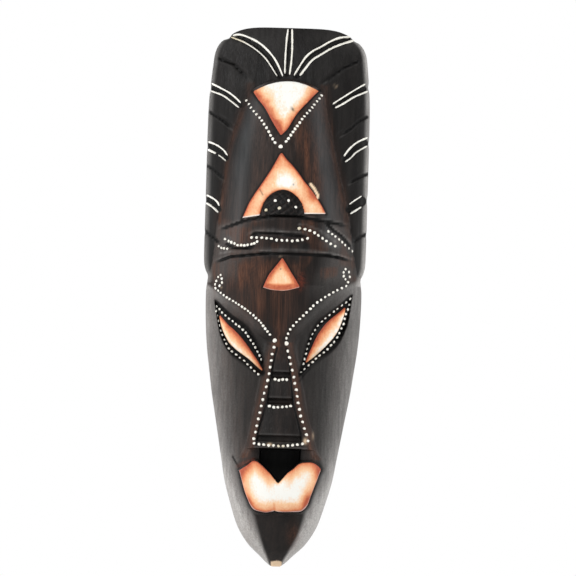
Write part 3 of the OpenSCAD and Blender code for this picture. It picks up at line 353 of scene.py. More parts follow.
def curve(table, k):
    """Cubic Hermite curve through [position, value] pairs, each slope that of its neighbours,
    level beyond the ends."""
    t = np.asarray(table, float)
    k = np.clip(np.asarray(k, float), t[0, 0], t[-1, 0])
    i = np.clip(np.searchsorted(t[:, 0], k, side="right") - 1, 0, len(t) - 2)
    a, b, p, n = t[i], t[i + 1], t[np.maximum(i - 1, 0)], t[np.minimum(i + 2, len(t) - 1)]
    w = b[..., 0] - a[..., 0]
    s = (k - a[..., 0]) / w
    ma = (b[..., 1] - p[..., 1]) / (b[..., 0] - p[..., 0]) * w
    mb = (n[..., 1] - a[..., 1]) / (n[..., 0] - a[..., 0]) * w
    return ((1 + 2 * s) * (1 - s) ** 2 * a[..., 1] + s * (1 - s) ** 2 * ma
            + s * s * (3 - 2 * s) * b[..., 1] - s * s * (1 - s) * mb)


def ramp(table, k):
    """Straight lines through [position, value] pairs."""
    t = np.asarray(table, float)
    return np.interp(k, t[:, 0], t[:, 1])


def lengths(path):
    """Distance along a line of points at each of them."""
    return np.concatenate([[0], np.cumsum(np.hypot(*np.diff(path, axis=0).T))])


def along(path, shares):
    """Points at the given shares of a straight-sided line's length."""
    path = np.asarray(path, float)
    if len(path) == 1:
        return np.repeat(path, len(shares), 0)
    at = lengths(path)
    return np.stack([np.interp(np.asarray(shares) * at[-1], at, path[:, k])
                     for k in (0, 1)], 1)


def flowing(path, count):
    """count + 1 even points on the Hermite curve through a line's own points."""
    path = np.asarray(path, float)
    at = lengths(path)
    s = np.linspace(0, at[-1], count + 1)
    return np.stack([curve(np.stack([at, path[:, k]], 1), s) for k in (0, 1)], 1)


def near(path, x, h, reach):
    """Distance from each point to a line of points, at most reach, and the share of the
    line's length at its nearest place."""
    path = np.asarray(path, float)
    gap = np.full(x.shape, float(reach))
    share = np.zeros(x.shape)
    inside = ((x > path[:, 0].min() - reach) & (x < path[:, 0].max() + reach)
              & (h > path[:, 1].min() - reach) & (h < path[:, 1].max() + reach))
    if inside.any():
        px, ph = x[inside][:, None], h[inside][:, None]
        a, d = path[:-1], np.diff(path, axis=0)
        size = np.hypot(*d.T)
        t = np.clip(((px - a[:, 0]) * d[:, 0] + (ph - a[:, 1]) * d[:, 1]) / size**2, 0, 1)
        far = np.hypot(px - a[:, 0] - t * d[:, 0], ph - a[:, 1] - t * d[:, 1])
        k = far.argmin(1)
        row = np.arange(len(k))
        gap[inside] = np.minimum(far[row, k], reach)
        share[inside] = (lengths(path)[k] + t[row, k] * size[k]) / size.sum()
    return gap, share


def patches(x, h, wide, high, seed):
    """Smooth random patches from 0 to 1, about wide by high millimetres."""
    table = np.random.default_rng(seed).random((97, 97))
    u, v = x / wide + 50, h / high + 7
    i, j = np.floor(u).astype(int), np.floor(v).astype(int)
    s, t = ease(u - i), ease(v - j)
    i, j, k, m = i % 97, j % 97, (i + 1) % 97, (j + 1) % 97
    return mix(mix(table[i, j], table[k, j], s), mix(table[i, m], table[k, m], s), t)


# ------------------------------------------------------------------ the carved surface
FACE_SIDE, HOOD_SIDE, HOOD_RISE = 17, 20, 19  # side wall's depth, and the hood's rise over it
NOSE_FOOT, NOSE_RISE = 108, 13
TIERS_FROM, TIERS_TO, NOTCH, BULGE = 112, 206, 4, 3  # heights, depth of a notch and a bulge
RAILS_TO = 203  # top of the dark lines inside the rails of drops
LIPS_FROM, LIPS_TO, LIPS_RISE = 44, 102, 7
RIDGE_RISE, BURR_RISE = 1.25, 0.35  # swell of the band's ridges, and beside a groove
BOSS_LINES, BOSS_CUT = 6.4, 0.6  # spacing and depth of the crossed lines on the boss


def hood_at(x, h):
    """Hood: its side wall and a bow across, higher at the foot than at the top."""
    r = np.abs(x) / np.where(h > 465, 72, np.maximum(curve(OUTLINE, h), 70))
    return np.where(h - 0.03 * x < HOOD_FOOT, 0,
                    HOOD_SIDE + HOOD_RISE * curve(HOOD, h) * bow(r, 2.7))


def side_at(h):
    """Depth of the side wall: greater along the hood than the face, less at the chin."""
    return np.where(h > FACE_TOP, mix(FACE_SIDE, HOOD_SIDE, ease((h - FACE_TOP) / 15)),
                    FACE_SIDE * curve(CHIN_SIDE, h))


def raised_at(x, h):
    """Crown, forehead, nose, lips and keel: the centre line's profile bowed across, with
    the nose's rise, its tiers and the lips added, and cut off at the crown's top edge."""
    side = side_at(h)
    half = np.where(h < FACE_TOP, curve(OUTLINE, h), curve(CROWN, h))
    off = np.abs(x - np.where(h > FACE_TOP, curve(LEAN, h), 0))
    power = mix(2.4, 2.7, ease((h - 250) / 40))
    nose = NOSE_RISE * curve(NOSE, h) * ease((h - NOSE_FOOT) / 1.5)
    tier = ramp(TIERS, h)
    inner = ease((curve(TIER_HALF, h) - np.abs(x - NOSE_X)) / 1.5 + 0.5)
    step = np.where((h > TIERS_FROM) & (h < TIERS_TO),
                    inner * tier * np.where(tier < 0, NOTCH, BULGE), 0)
    lips = np.where((h > LIPS_FROM) & (h < LIPS_TO),
                    LIPS_RISE * ease((h - curve(LIPS_LOW, x) + 2.5) / 2.5)
                    * ease((curve(LIPS_UP, x) + 2 - h) / 2), 0)
    rise = curve(PROFILE, h) - side + nose + step + lips
    top = np.where(h < 340, 1, ease((curve(ARCH, off) - h) / 1.6))
    return (side + rise * bow(off / half, power)) * top


def cheek_at(x, h):
    """Cheeks: the cheek's profile bowed across to the outline."""
    side = side_at(h)
    return side + (curve(CHEEK, h) - side) * bow(np.abs(x) / curve(OUTLINE, h), 2.4)


def socket_at(x, h):
    """Distance inside an eye socket's edge, below 0 outside it."""
    low = np.where(x < 0, curve(SOCKET_LEFT_LOW, x), curve(SOCKET_RIGHT_LOW, x))
    high = np.where(x < 0, curve(SOCKET_LEFT_UP, x), curve(SOCKET_RIGHT_UP, x))
    return np.where((np.abs(x) < 15.5) | (np.abs(x) > 64), -9,
                    np.minimum(high - h, h - low) * 0.7)


def mouth_at(x, h):
    """Distance inside the mouth's edge, below 0 outside it."""
    left, right, top, _ = MOUTH
    return np.minimum(np.minimum(x - left, right - x),
                      np.minimum(top - h, h - curve(LIPS_UP, x)))


def boss_at(x, h):
    """Half dome with a flat foot: the root of 1 less the squares of both distances."""
    middle, foot, wide, high, rise = BOSS
    q = 1 - ((x - middle) / wide) ** 2 - ((h - foot) / high) ** 2
    return np.where((h < foot) | (q <= 0), 0,
                    rise * np.sqrt(np.maximum(q, 0)) * ease((h - foot) / 1.2))


def beside_at(x, h):
    """Distance outside the raised face's edge, below 0 on it."""
    return np.where(x < 0, curve(EDGE_LEFT, h) - x, x - curve(EDGE_RIGHT, h))


def form_at(x, h):
    """Depth of the plain carved form: the raised face falls to the cheeks, the sockets and
    the mouth are sunk in it, and the hood covers what is lower than itself."""
    beside = beside_at(x, h)
    out = np.where((h > 282) | (beside <= 0), 0, ease(beside / curve(FALL, h)))
    face = mix(raised_at(x, h), cheek_at(x, h), out)
    inside = socket_at(x, h)
    eyes = 2.5 * ease((inside - 3) / 6) - 4.5 * ease(inside / 4.2)
    mouth = np.where((h > 76) & (h < MOUTH[2]), ease(mouth_at(x, h) / 1.5), 0)
    return np.maximum(mix(face + eyes, MOUTH[3], mouth) + boss_at(x, h), hood_at(x, h))


def grooves_at(x, h):
    """What the small gouges take off, and the ink and painted shade that darken them. A ray's
    gouge is a flat trough between its two lines, a groove or a band line is a rounded V, and a
    ridge is a swell."""
    sizes = bpy.context.scene.mask_carving
    relief, ink_and_shade = np.zeros(x.shape), np.zeros(x.shape)

    def carve(cut, depth, darkness):
        """Takes off a cut's depth and darkens it with ink and painted shade."""
        nonlocal relief, ink_and_shade
        relief = relief - depth * cut
        ink_and_shade = np.maximum(ink_and_shade, np.minimum(darkness * cut, 1))

    for one, two in RAYS_TOP + RAYS_LEFT + RAYS_RIGHT:
        shares = np.linspace(0, 1, 15)
        a, b = along(one, shares), along(two, shares)
        gap, share = near((a + b) / 2, x, h, 12)
        half = np.interp(share, shares, np.hypot(*(a - b).T) / 2)
        carve(ease((half + 0.2 - gap) / 1.6), sizes.ray_depth * 1000, 1)
    for path in GROOVES:
        gap, share = near(path, x, h, 6)
        carve(bell(gap / (sizes.groove_width * 620)) * ease(4 * (1 - share)),
              sizes.groove_depth * 1000, 1.6)
        relief = relief + BURR_RISE * bell((gap - 2.4) / 1.1)
    for path in BAND_LINES:
        gap, share = near(path, x, h, 6)
        carve(ease(1.15 - gap / (sizes.groove_width * 850)) * between(share, 0, 1 / 12, 1, 1 / 12),
              sizes.band_depth * 1000, 2)
    for path in BAND_RIDGES:
        gap, share = near(path, x, h, 6)
        relief = relief + RIDGE_RISE * bell(gap / 1.6) * between(share, 0, 1 / 8, 1, 1 / 8)
    # crossed lines cut into the boss, whose ground between them is inked black
    middle, foot, wide, high, _ = BOSS
    dome = ease(8 * (1 - ((x - middle) / wide) ** 2 - ((h - foot) / high) ** 2))
    dome = np.where(h > foot + 1, dome, 0)
    scratch = np.zeros(x.shape)
    for slope in (1, -0.75):
        step = np.abs((((x - middle) * slope + (h - foot)) / BOSS_LINES) % 1 - 0.5)
        step = step * BOSS_LINES
        cut = np.clip(1.2 - step / 0.9, 0, 1) * dome
        relief = relief - BOSS_CUT * cut
        scratch = np.maximum(scratch, cut)
    ink_and_shade = np.maximum(ink_and_shade, 0.95 * dome * (1 - scratch))
    # dark line inside each rail of drops on the nose
    rail = np.abs(np.abs(x - NOSE_X) - curve(TIER_HALF, h) - 0.5)
    carve(np.where((h > TIERS_FROM) & (h < RAILS_TO), np.clip(1 - rail / 1.3, 0, 1), 0),
          0.6, 1.3)
    # scratches on the left cheek and below the inner corner of the right eye
    for path, depth in (([[-43, 101], [-40, 96], [-36, 90]], 0.7),
                        ([[17, 172], [20, 177], [26, 184]], 0.5)):
        carve(np.clip(1 - near(path, x, h, 4)[0], 0, 1), depth, 1)
    return relief, ink_and_shade


def tool_marks(x, h):
    """Faint knife facets: long patches one way and short ones the other."""
    depth = bpy.context.scene.mask_carving.tool_marks * 1000
    return depth * (patches(x, h, 5, 34, 1) + 0.5 * patches(x, h, 2.2, 9, 2)
                    + 0.5 * patches(x, h, 11, 13, 3) - 1)


def carved_at(x, h):
    """Depth of the finished carving in millimetres."""
    x, h = np.asarray(x, float), np.asarray(h, float)
    calm = ease(mouth_at(x, h) / 1.5)
    return form_at(x, h) + (grooves_at(x, h)[0] + tool_marks(x, h)) * (1 - calm)


def place(x, depth, h):
    """Frame points, in metres, of millimetre lists."""
    return np.stack(np.broadcast_arrays(x * KX, -depth * KY, CHIN_Z + h * KZ), -1)


def outward(x, h):
    """Unit vectors off the surface, in (x, y, z), from the slopes of the depth."""
    d = 0.6
    dx = (form_at(x + d, h) - form_at(x - d, h)) / (2 * d)
    dh = (form_at(x, h + d) - form_at(x, h - d)) / (2 * d)
    n = np.stack([-dx, -np.ones(x.shape), -dh], -1)
    return n / np.linalg.norm(n, axis=-1, keepdims=True)


# ------------------------------------------------------------------ meshes
def put(name, data, location=(0, 0, 0), turn=(0, 0, 0)):
    """An object of its own in the scene."""
    item = bpy.data.objects.new(name, data)
    item.location, item.rotation_euler = location, turn
    bpy.context.scene.collection.objects.link(item)
    return item


def make_piece(name, points, faces, material, masks, sharp=None):
    """A mesh object from an array of points and arrays of corner numbers, turned to face
    outwards by the sign of its volume, with its masks as point attributes."""
    old = bpy.data.objects.get(name)
    if old is not None:
        bpy.data.objects.remove(old)
    points = np.asarray(points, float).reshape(-1, 3)
    volume = 0.0
    for f in faces:
        for k in range(1, f.shape[1] - 1):
            volume += np.einsum("ij,ij->", points[f[:, 0]],
                                np.cross(points[f[:, k]], points[f[:, k + 1]]))
    if volume < 0:
        faces = [f[:, ::-1] for f in faces]
    corners = np.concatenate([f.ravel() for f in faces])
    sides = np.concatenate([np.full(len(f), f.shape[1]) for f in faces])
    starts = np.concatenate([[0], np.cumsum(sides)[:-1]])
    mesh = bpy.data.meshes.new(name)
    mesh.vertices.add(len(points))
    mesh.vertices.foreach_set("co", points.ravel())
    mesh.loops.add(len(corners))
    mesh.loops.foreach_set("vertex_index", corners.astype(np.int32))
    mesh.polygons.add(len(sides))
    mesh.polygons.foreach_set("loop_start", starts.astype(np.int32))
    mesh.update(calc_edges=True)
    if mesh.validate():
        raise RuntimeError(f"the mesh of {name} had faults")
    mesh.shade_smooth()
    if sharp is not None:
        mesh.set_sharp_from_angle(angle=math.radians(sharp))
    for key, values in masks.items():
        layer = mesh.attributes.new(key, "FLOAT", "POINT")
        layer.data.foreach_set("value", np.asarray(values, np.float32).ravel())
    mesh.materials.append(material)
    piece = put(name, mesh)
    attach(piece, "mask")
    return piece


def grid_faces(rows, columns, start=0):
    """Four-cornered faces of a grid of rows by columns points."""
    j, i = np.meshgrid(np.arange(rows - 1), np.arange(columns - 1), indexing="ij")
    a = (start + j * columns + i).ravel()
    return np.stack([a, a + 1, a + columns + 1, a + columns], 1)


def border(rows, columns, start=0):
    """Corner numbers round a grid, from its first point along its first row."""
    number = start + np.arange(rows * columns).reshape(rows, columns)
    return np.concatenate([number[0, :-1], number[:-1, -1], number[-1, :0:-1],
                           number[:0:-1, 0]])


def shell(top, bottom):
    """Closed skin of two grids of the same shape: both sides and a wall between them."""
    rows, columns = top.shape[:2]
    count = rows * columns
    ring = border(rows, columns)
    nxt = np.roll(ring, -1)
    wall = np.stack([nxt, ring, ring + count, nxt + count], 1)
    faces = np.concatenate([grid_faces(rows, columns),
                            grid_faces(rows, columns, count)[:, ::-1], wall])
    return np.concatenate([top.reshape(-1, 3), bottom.reshape(-1, 3)]), faces


def joined(shells):
    """Several closed skins in one pair of arrays."""
    points, faces, count = [], [], 0
    for p, f in shells:
        points.append(p)
        faces.append(f + count)
        count += len(p)
    return np.concatenate(points), np.concatenate(faces)


# ------------------------------------------------------------------ the body's grid
def front_grid(columns, rows):
    """x and h of the front's points. Columns follow the edges of the nose, its tiers and
    the mouth, and rows dip along the lips' upper edge and the crown's top."""
    v, u = np.meshgrid(np.arange(rows + 1) / rows, 2 * np.arange(columns + 1) / columns - 1,
                       indexing="ij")
    h = ramp(ROW_H, v * ROW_H[-1][0])
    w = curve(OUTLINE, h)
    left, right = curve(COLUMN_LEFT, h), curve(COLUMN_RIGHT, h)
    edge, sign = np.where(u < 0, left, right), np.where(u < 0, -1, 1)
    foot = edge + sign * curve(COLUMN_STEP, h)
    low, half = h < 111, curve(TIER_HALF, h)
    tl = np.where(low, MOUTH[0] + 0.75, NOSE_X - half)
    tr = np.where(low, MOUTH[1] - 0.75, half + NOSE_X)
    stops = [0, 3 / 16, 4 / 16, 12 / 16, 13 / 16, 1]
    marks = [left, tl - 0.75, tl + 0.75, tr - 0.75, tr + 0.75, right]
    f = (u / RAISED + 1) / 2
    inner = np.zeros(f.shape)
    for k in range(5):
        t = (f - stops[k]) / (stops[k + 1] - stops[k])
        inner = np.where((t >= 0) & (t <= 1), mix(marks[k], marks[k + 1], t), inner)
    middle = mix(mix(left, right, f), inner, ramp(TIER_SHARE, h))
    t = (1 - np.abs(u)) / (1 - RAISED - STEP)
    outer = mix(sign * w, foot, t * (0.72 + 0.28 * t))
    past = (np.abs(u) - RAISED) / STEP
    x = np.where(past <= 0, middle, np.where(past <= 1, mix(edge, foot, past), outer))
    g = x / w
    bent = h + 9.5 * (1 - np.abs(g) ** 5) * ease((h - 455) / 35)
    bent -= np.where((h > 385) & (h < 483), curve(ARCH_DIP, np.abs(x - curve(LEAN, h)))
                     * curve(ARCH_DIP_SHARE, h), 0)
    bent -= np.where((h > 60) & (h < 108), (97.8 - curve(LIPS_UP, x)) * ramp(LIP_DIP, h)
                     * ease((w - np.abs(x)) / 14), 0)
    return x, bent, g, v


# Shallow nicks in the outline where the rays cross the rim: [x, height, depth, size]
NICKS = [[-59.5, 490, 1.9, 3.2], [59.5, 490.5, 1.1, 3], [-73, 441, 0.8, 3.4],
    [73.5, 446, 1.0, 3.4], [-75, 387.5, 0.6, 3.6], [75, 394.5, 0.9, 3.6],
    [-75, 337.5, 0.6, 3.6], [75, 341, 0.9, 4], [75, 309, 0.6, 2.6], [-75, 308, 0.5, 2.4]]


# Chips of the stain: [share, x, height, reach across, reach up], and the flake's line
CHIPS = [[.4, 42, 447, 1.6, 0.8], [.8, -9, 113, 1.8, 1.2], [.8, 24, 117, 1.6, 2.4],
    [.3, -4, 287.5, 0.8, 0.8], [.2, -58, 257, 0.8, 0.8], [.3, 31, 122, 1, 3]]
FLAKE = [[21.8, 355.5], [25.2, 351.5], [28.8, 345.5], [28.3, 342.5]]


def wall_rings(x, h, depth, v, ring):
    """Points of the side wall, ring by ring, from the front's border to the wall plane,
    sloping in a little."""
    x, h, depth, v = (k.ravel()[ring] for k in (x, h, depth, v))
    foot_x = x * (1 - 1.5 / np.maximum(curve(OUTLINE, np.minimum(h, 490)), 10))
    foot_h = h - np.where(v >= 1, 1.5, np.where(v <= 0, -0.75, 0))
    wobble = 0.35 * np.abs(patches(x + h, h, 9, 17, 5) - 0.5)
    return [place(mix(x, foot_x, t) - np.sign(x) * (wobble if t < 0.9 else 0.7 * (t == 1)),
                  mix(depth, 0, t), mix(h, foot_h, t)) for t in WALL_SHARES]


def hollow_points(columns, rows):
    """Points of the hollow with the marks of the gouge, and of the shelf above it."""
    u = 2 * np.arange(columns + 1) / columns - 1
    share, u = np.meshgrid(np.arange(rows + 1) / rows,
                           0.62 * u + 0.38 * np.sin(np.pi / 2 * u), indexing="ij")
    h = ramp(HOLLOW_ROW, share)
    x = (curve(OUTLINE, h) - RIM_WIDTH) * u
    deep = HOLLOW_DEPTH * curve(HOLLOW, h) * np.sqrt(np.maximum(1 - np.abs(u) ** 3, 0))
    shelf = h >= SHELF_LOW
    flat = np.minimum(SHELF_DEPTH, deep * np.where(shelf, 40, 4))
    depth = np.where(shelf, flat,
                     np.maximum(np.minimum(deep, HOLLOW_DEPTH), np.where(h > 414, flat, 0)))
    scoops = np.abs(((x + 40) / 9 + 0.35 * patches(x, h, 30, 30, 8)) % 1 - 0.5) * 2
    lengthwise = np.abs((h / 26 + patches(x, h, 9, 60, 9)) % 1 - 0.5) * 2
    gouged = 0.7 * (scoops**2 + 0.6 * lengthwise**2) * ease(depth / 8) * (h < 428)
    depth = np.maximum(depth - gouged, 0)
    depth[[0, -1]] = depth[:, [0, -1]] = 0
    return place(x, depth, h)


def rim_faces(outer, inner, sides):
    """Flat rim between two loops: one triangle for each edge of either loop, where sides
    has the edges of the outer and inner loop on each side."""
    faces, outer_at, inner_at = [], 0, 0
    for many, few in sides:
        o = np.take(outer, np.arange(outer_at, outer_at + many + 1), mode="wrap")
        i = np.take(inner, np.arange(inner_at, inner_at + few + 1), mode="wrap")
        ratio, k, j = many // few, np.arange(many), np.arange(few)
        faces += [np.stack([o[k], o[k + 1], i[(k + ratio // 2) // ratio]], 1),
                  np.stack([o[ratio * (j + 1) - ratio // 2], i[j + 1], i[j]], 1)]
        outer_at, inner_at = outer_at + many, inner_at + few
    return np.concatenate(faces)


def body_mesh():
    """Closed skin of the mask: the carved front, the side wall, the flat rim and the hollow.
    Returns its points, faces and masks."""
    x, h, g, v = front_grid(COLUMNS, ROWS)
    capped = np.minimum(h, TOP_H)
    round_over = 1.75 * ((np.maximum(np.abs(g) - 0.9, 0) / 0.1) ** 2
                         + (np.maximum(v - 0.975, 0) / 0.025) ** 2)
    depth = np.maximum(carved_at(x * 0.999, capped) - round_over, 5)
    for nx, nh, deep, size in NICKS:
        pull = 0.8 * deep * spot(x, h, nx, nh, size, size)
        x = x - np.sign(nx) * pull
        h = h - np.where(nh > 480, pull, 0)
    ring = border(ROWS + 1, COLUMNS + 1)
    half_columns, third_rows = COLUMNS // 2, ROWS // 3
    hollow = hollow_points(half_columns, third_rows)
    points = np.concatenate([place(x, depth, h).reshape(-1, 3),
                             *wall_rings(x, h, depth, v, ring), hollow.reshape(-1, 3)])

    # corner numbers of the side wall's rings, and of the hollow's border
    n, count = len(ring), len(WALL_SHARES)
    start = x.size
    rings = np.concatenate([ring[None], start + np.arange(count * n).reshape(count, n)])
    a, b = rings[:-1], rings[1:]
    walls = np.stack([a, b, np.roll(b, -1, 1), np.roll(a, -1, 1)], -1).reshape(-1, 4)
    hollow_start = start + count * n
    inner = border(third_rows + 1, half_columns + 1, hollow_start)
    faces = [np.concatenate([grid_faces(ROWS + 1, COLUMNS + 1), walls,
                             grid_faces(third_rows + 1, half_columns + 1,
                                        hollow_start)[:, ::-1]]),
             rim_faces(rings[-1], inner, 2 * ((COLUMNS, half_columns), (ROWS, third_rows)))]

    # the grey and painted highlight of the front's border fade along the side wall
    masks = {}
    for key, (value, edge, inside) in body_masks(x, capped).items():
        fade = WALL_ASH_AND_HIGHLIGHT if key == "ash_and_highlight" else np.ones(count - 1)
        masks[key] = np.concatenate([value.ravel(), np.outer(fade, value.ravel()[ring]).ravel(),
                                     np.full(n, edge), np.full(hollow.size // 3, inside)])
    return points, faces, masks


def body_masks(x, h):
    """Where the wood is inked or darkened with painted shade, worn brown, greyed and lit with
    painted highlight, given a cool painted sheen, bare or hazed with orange, 0 to 1, each with its
    value on the rim and in the hollow."""
    streak = patches(x, h, 4.5, 60, 11)
    broad = patches(x, h, 13, 95, 12)
    fine = patches(x, h, 1.6, 16, 13)
    beside, inside = beside_at(x, h), socket_at(x, h)
    off, half = x - curve(LEAN, h), curve(CROWN, h)
    hood = hood_at(x, h) > raised_at(x, h)
    keel = ease(1 - beside / 2) * (h < 48)
    tiers = ease((curve(TIER_HALF, h) - np.abs(x - NOSE_X)) / 2)
    tiers = tiers * (h > TIERS_FROM) * (h < RAILS_TO)

    # black ink and painted shade, darkest in the cuts, the sockets and the mouth and round the
    # panels, fainter on the hood, the keel and the nose's tiers
    ink_and_shade_layers = [grooves_at(x, h)[1], ease(inside / 1.5 + 0.4) * (h < 256),
            ease(mouth_at(x, h) / 1.0 + 0.5) * (h > 76),
            0.1 * hood * (h > 270) * (np.abs(x) < 66), 0.2 * keel,
            0.35 * tiers * (1 - 0.5 * streak)]
    for one, two, *_ in PANELS.values():
        ink_and_shade_layers += [0.85 * ease(1 - near(flowing(path, 30), x, h, 4)[0] / 2.6)
                 for path in (one, two)]
    ink_and_shade = np.max(ink_and_shade_layers, axis=0)

    # brown where hands and brushes rubbed the paint through
    crown_edge = bell((np.abs(off) - half + 3) / 4) * ease((h - 300) / 30) * (h < 448)
    right_patch = bell((x - mix(13, 27, (400 - h) / 50)) / 7) * between(h, 335, 30, 425, 30)
    forehead = bell((x + 12) / 22) * between(h, 215, 25, 288, 8)
    forehead += 0.8 * bell((x + 38) / 14) * between(h, 250, 15, 285, 8)
    band = ease((patches(x, h, 9, 11, 15) - 0.52) / 0.2) * between(h, FACE_TOP, 8, 324, 4)
    bridge = bell((x + 3) / 5) * between(h, 185, 20, 235, 15)
    rails = np.where((h > 100) & (h < 208), bell((beside - 1.5) / 3.5), 0)
    corner = bell((np.abs(x - 1) - 30) / 5) * between(h, 86, 8, 112, 8)
    worn = (0.5 * crown_edge * (0.2 + 0.9 * streak) + 0.8 * right_patch * (0.4 + 0.8 * streak)
            + 0.75 * forehead * (0.25 + streak) + 0.8 * bridge + 0.8 * rails + 0.25 * corner
            + 0.9 * spot(x, h, 15, 30, 5, 12) + 0.45 * band * ~hood
            + 0.3 * broad * ~hood * (1 - 0.7 * ease((x - 8) / 12) * (h < 300)))
    worn = np.clip(worn * (0.55 + 0.7 * fine), 0, 1) * (1 - 0.8 * ink_and_shade)

    # grey stain and painted highlight: painted highlight on the edges and ridges that catch the
    # lamps, along the rim (brighter on the right), the brows, cheeks, band folds, groove lips,
    # nose crests and down the chin's sides, and a little grey where the black is thin
    out = np.abs(x) / curve(OUTLINE, np.minimum(h, 490))
    upper = h > FACE_TOP
    cheeks = ease(beside / 10) * ease((268 - h) / 12) * (1 - ease(inside / 2 + 1))
    chin = out ** mix(1.9, 5.5, ease(h / 120)) * ease((272 - h) / 12) * (1 - keel) \
        * ease(beside / 5)
    brow = ease(1 - np.abs(beside - 7) / 9) * ease((h - 212) / 15) * (h < 285)
    sheen = bell((off + 0.78 * half - 6) / 5) + bell((off - 0.72 * half) / 6)
    sheen = sheen * (h > 300) * (h < 448) * ~hood
    sides = ease((np.abs(x + 3) - 26) / 22) * between(h, 258, 16, 322, 10) * ~hood
    folds = sum(bell(near(path, x, h, 5)[0] / 1.1) for path in BAND_RIDGES)
    folds = folds + 0.6 * sum(bell(near(path, x, h - 2.1, 5)[0] / 0.9) for path in BAND_LINES)
    cut_lips = sum(bell(near(path, x, h + 1.5, 5)[0] / 0.8) for path in GROOVES)
    crests = sum(bell((h - at) / 0.9) for at in (122.3, 156.9, 181.3)) * tiers
    crests = crests + 0.8 * bell((h - 110.3) / 0.8) * (np.abs(x - 1) < 25)
    notch = between(h, 111, 2, 121, 2) * ease((22 - np.abs(x)) / 3)
    nose_walls = np.where((h > 104) & (h < 205), bell((beside - 3) / 3), 0)
    ash_and_highlight = (0.036 * cheeks + 0.05 * brow + 0.03 * sheen + 0.05 * spot(x, h, 38, 262, 16, 14)
           + 0.07 * sides + 0.12 * folds * (0.6 + 0.8 * fine) + 0.07 * cut_lips
           + 0.12 * crests + 0.02 * keel + 0.05 * corner + 0.035 * notch
           + 0.05 * nose_walls + 0.03 * ease((h - 468) / 22)
           + ease((out - 0.925) / 0.07) * upper * np.where(x > 0, 0.75, 0.26)
           + 0.05 * (out - 0.8) * upper * (x > 0)
           + chin * mix(2.6, 0.5, ease((h - 8) / 120) ** 0.7) + 0.03 * (broad - 0.3) * ~hood)
    ash_and_highlight = np.clip(ash_and_highlight * (0.78 + 0.44 * fine), 0, 1) * (1 - ink_and_shade)
    # painted sheen: a cool blue-grey highlight down both flanks of the crown
    painted_sheen = bell((off + 0.70 * half) / 8) + 1.1 * bell((off - 0.70 * half) / 9)
    painted_sheen = 0.8 * painted_sheen * (h > 296) * (h < 446) * ~hood * (0.6 + 0.6 * fine)
    painted_sheen = np.clip(painted_sheen, 0, 1) * (1 - ink_and_shade)

    # bare wood at the chin's tip, in the chips and in the flake beside the crown's triangle
    bare = ease((6.0 - h - 0.25 * np.abs(x - 0.5)) / 0.8 + 1.4 * (fine - 0.4)) \
        * ease((5.2 - np.abs(x - 0.5)) / 0.8 + (streak - 0.5))
    for share, *chip in CHIPS:
        bare = bare + share * spot(x, h, *chip)
    bare = bare + 1.1 * ease(1.7 - near(FLAKE, x, h, 5)[0] / 0.95)
    lips_gap, _ = near([[-38, 92], [-30, 96], [-24, 99]], x, h, 6)
    haze = 0.22 * spot(x, h, 15, 264, 4, 7) + 0.12 * spot(x, h, 16, 268, 3, 5) \
        + 0.2 * ease(1 - lips_gap / 3)
    return {"painted_sheen": (painted_sheen, 0, 0), "ink_and_shade": (np.clip(ink_and_shade, 0, 1), 0.2, 0),
            "worn": (worn, 0.2, 0), "ash_and_highlight": (ash_and_highlight, 0.3, 0), "bare": (np.clip(bare, 0, 1), 0, 0),
            "haze": (np.clip(haze, 0, 1), 0, 0), "raw": (0 * x, 0.35, 1)}


# ------------------------------------------------------------------ painted pieces
EDGE_SINK = -0.1  # a panel's border lies this far in the wood
PANEL_ROOT = 0.8  # how far a panel's skin reaches into the wood
STROKE_SHAPE = [[-1, -0.08], [-0.62, 0.34], [0, 0.46], [0.62, 0.34], [1, -0.08]]
STROKE_ROOT = 0.6  # how far a line's skin reaches into the wood
DOME_ROOT = 0.7  # how far a drop's foot reaches into the wood
DOME_RADIUS = np.array([0.96, 1.0, 0.86, 0.62, 0.3])
DOME_HEIGHT = np.array([-DOME_ROOT, 0.12, 0.62, 0.88, 1.0])
DOME_SIDES = 10  # points round each ring of a drop
YELLOWED = {"y": 0.8, "c": 0.55}  # tint of the aged kinds of drop


def panel_grid(name):
    """x, h and the shares s and t of a panel: the mixture of its two borders, lifted along
    h at its far end by the bulge times 4t(1-t)s^2."""
    one, two, bulge, along_count, across_count = PANELS[name]
    a, b = flowing(one, along_count), flowing(two, along_count)
    s, t = np.meshgrid(np.linspace(0, 1, along_count + 1),
                       np.linspace(0, 1, across_count + 1), indexing="ij")
    p = mix(a[:, None], b[:, None], t[..., None])
    return p[..., 0], p[..., 1] + bulge * 4 * t * (1 - t) * s * s, s, t


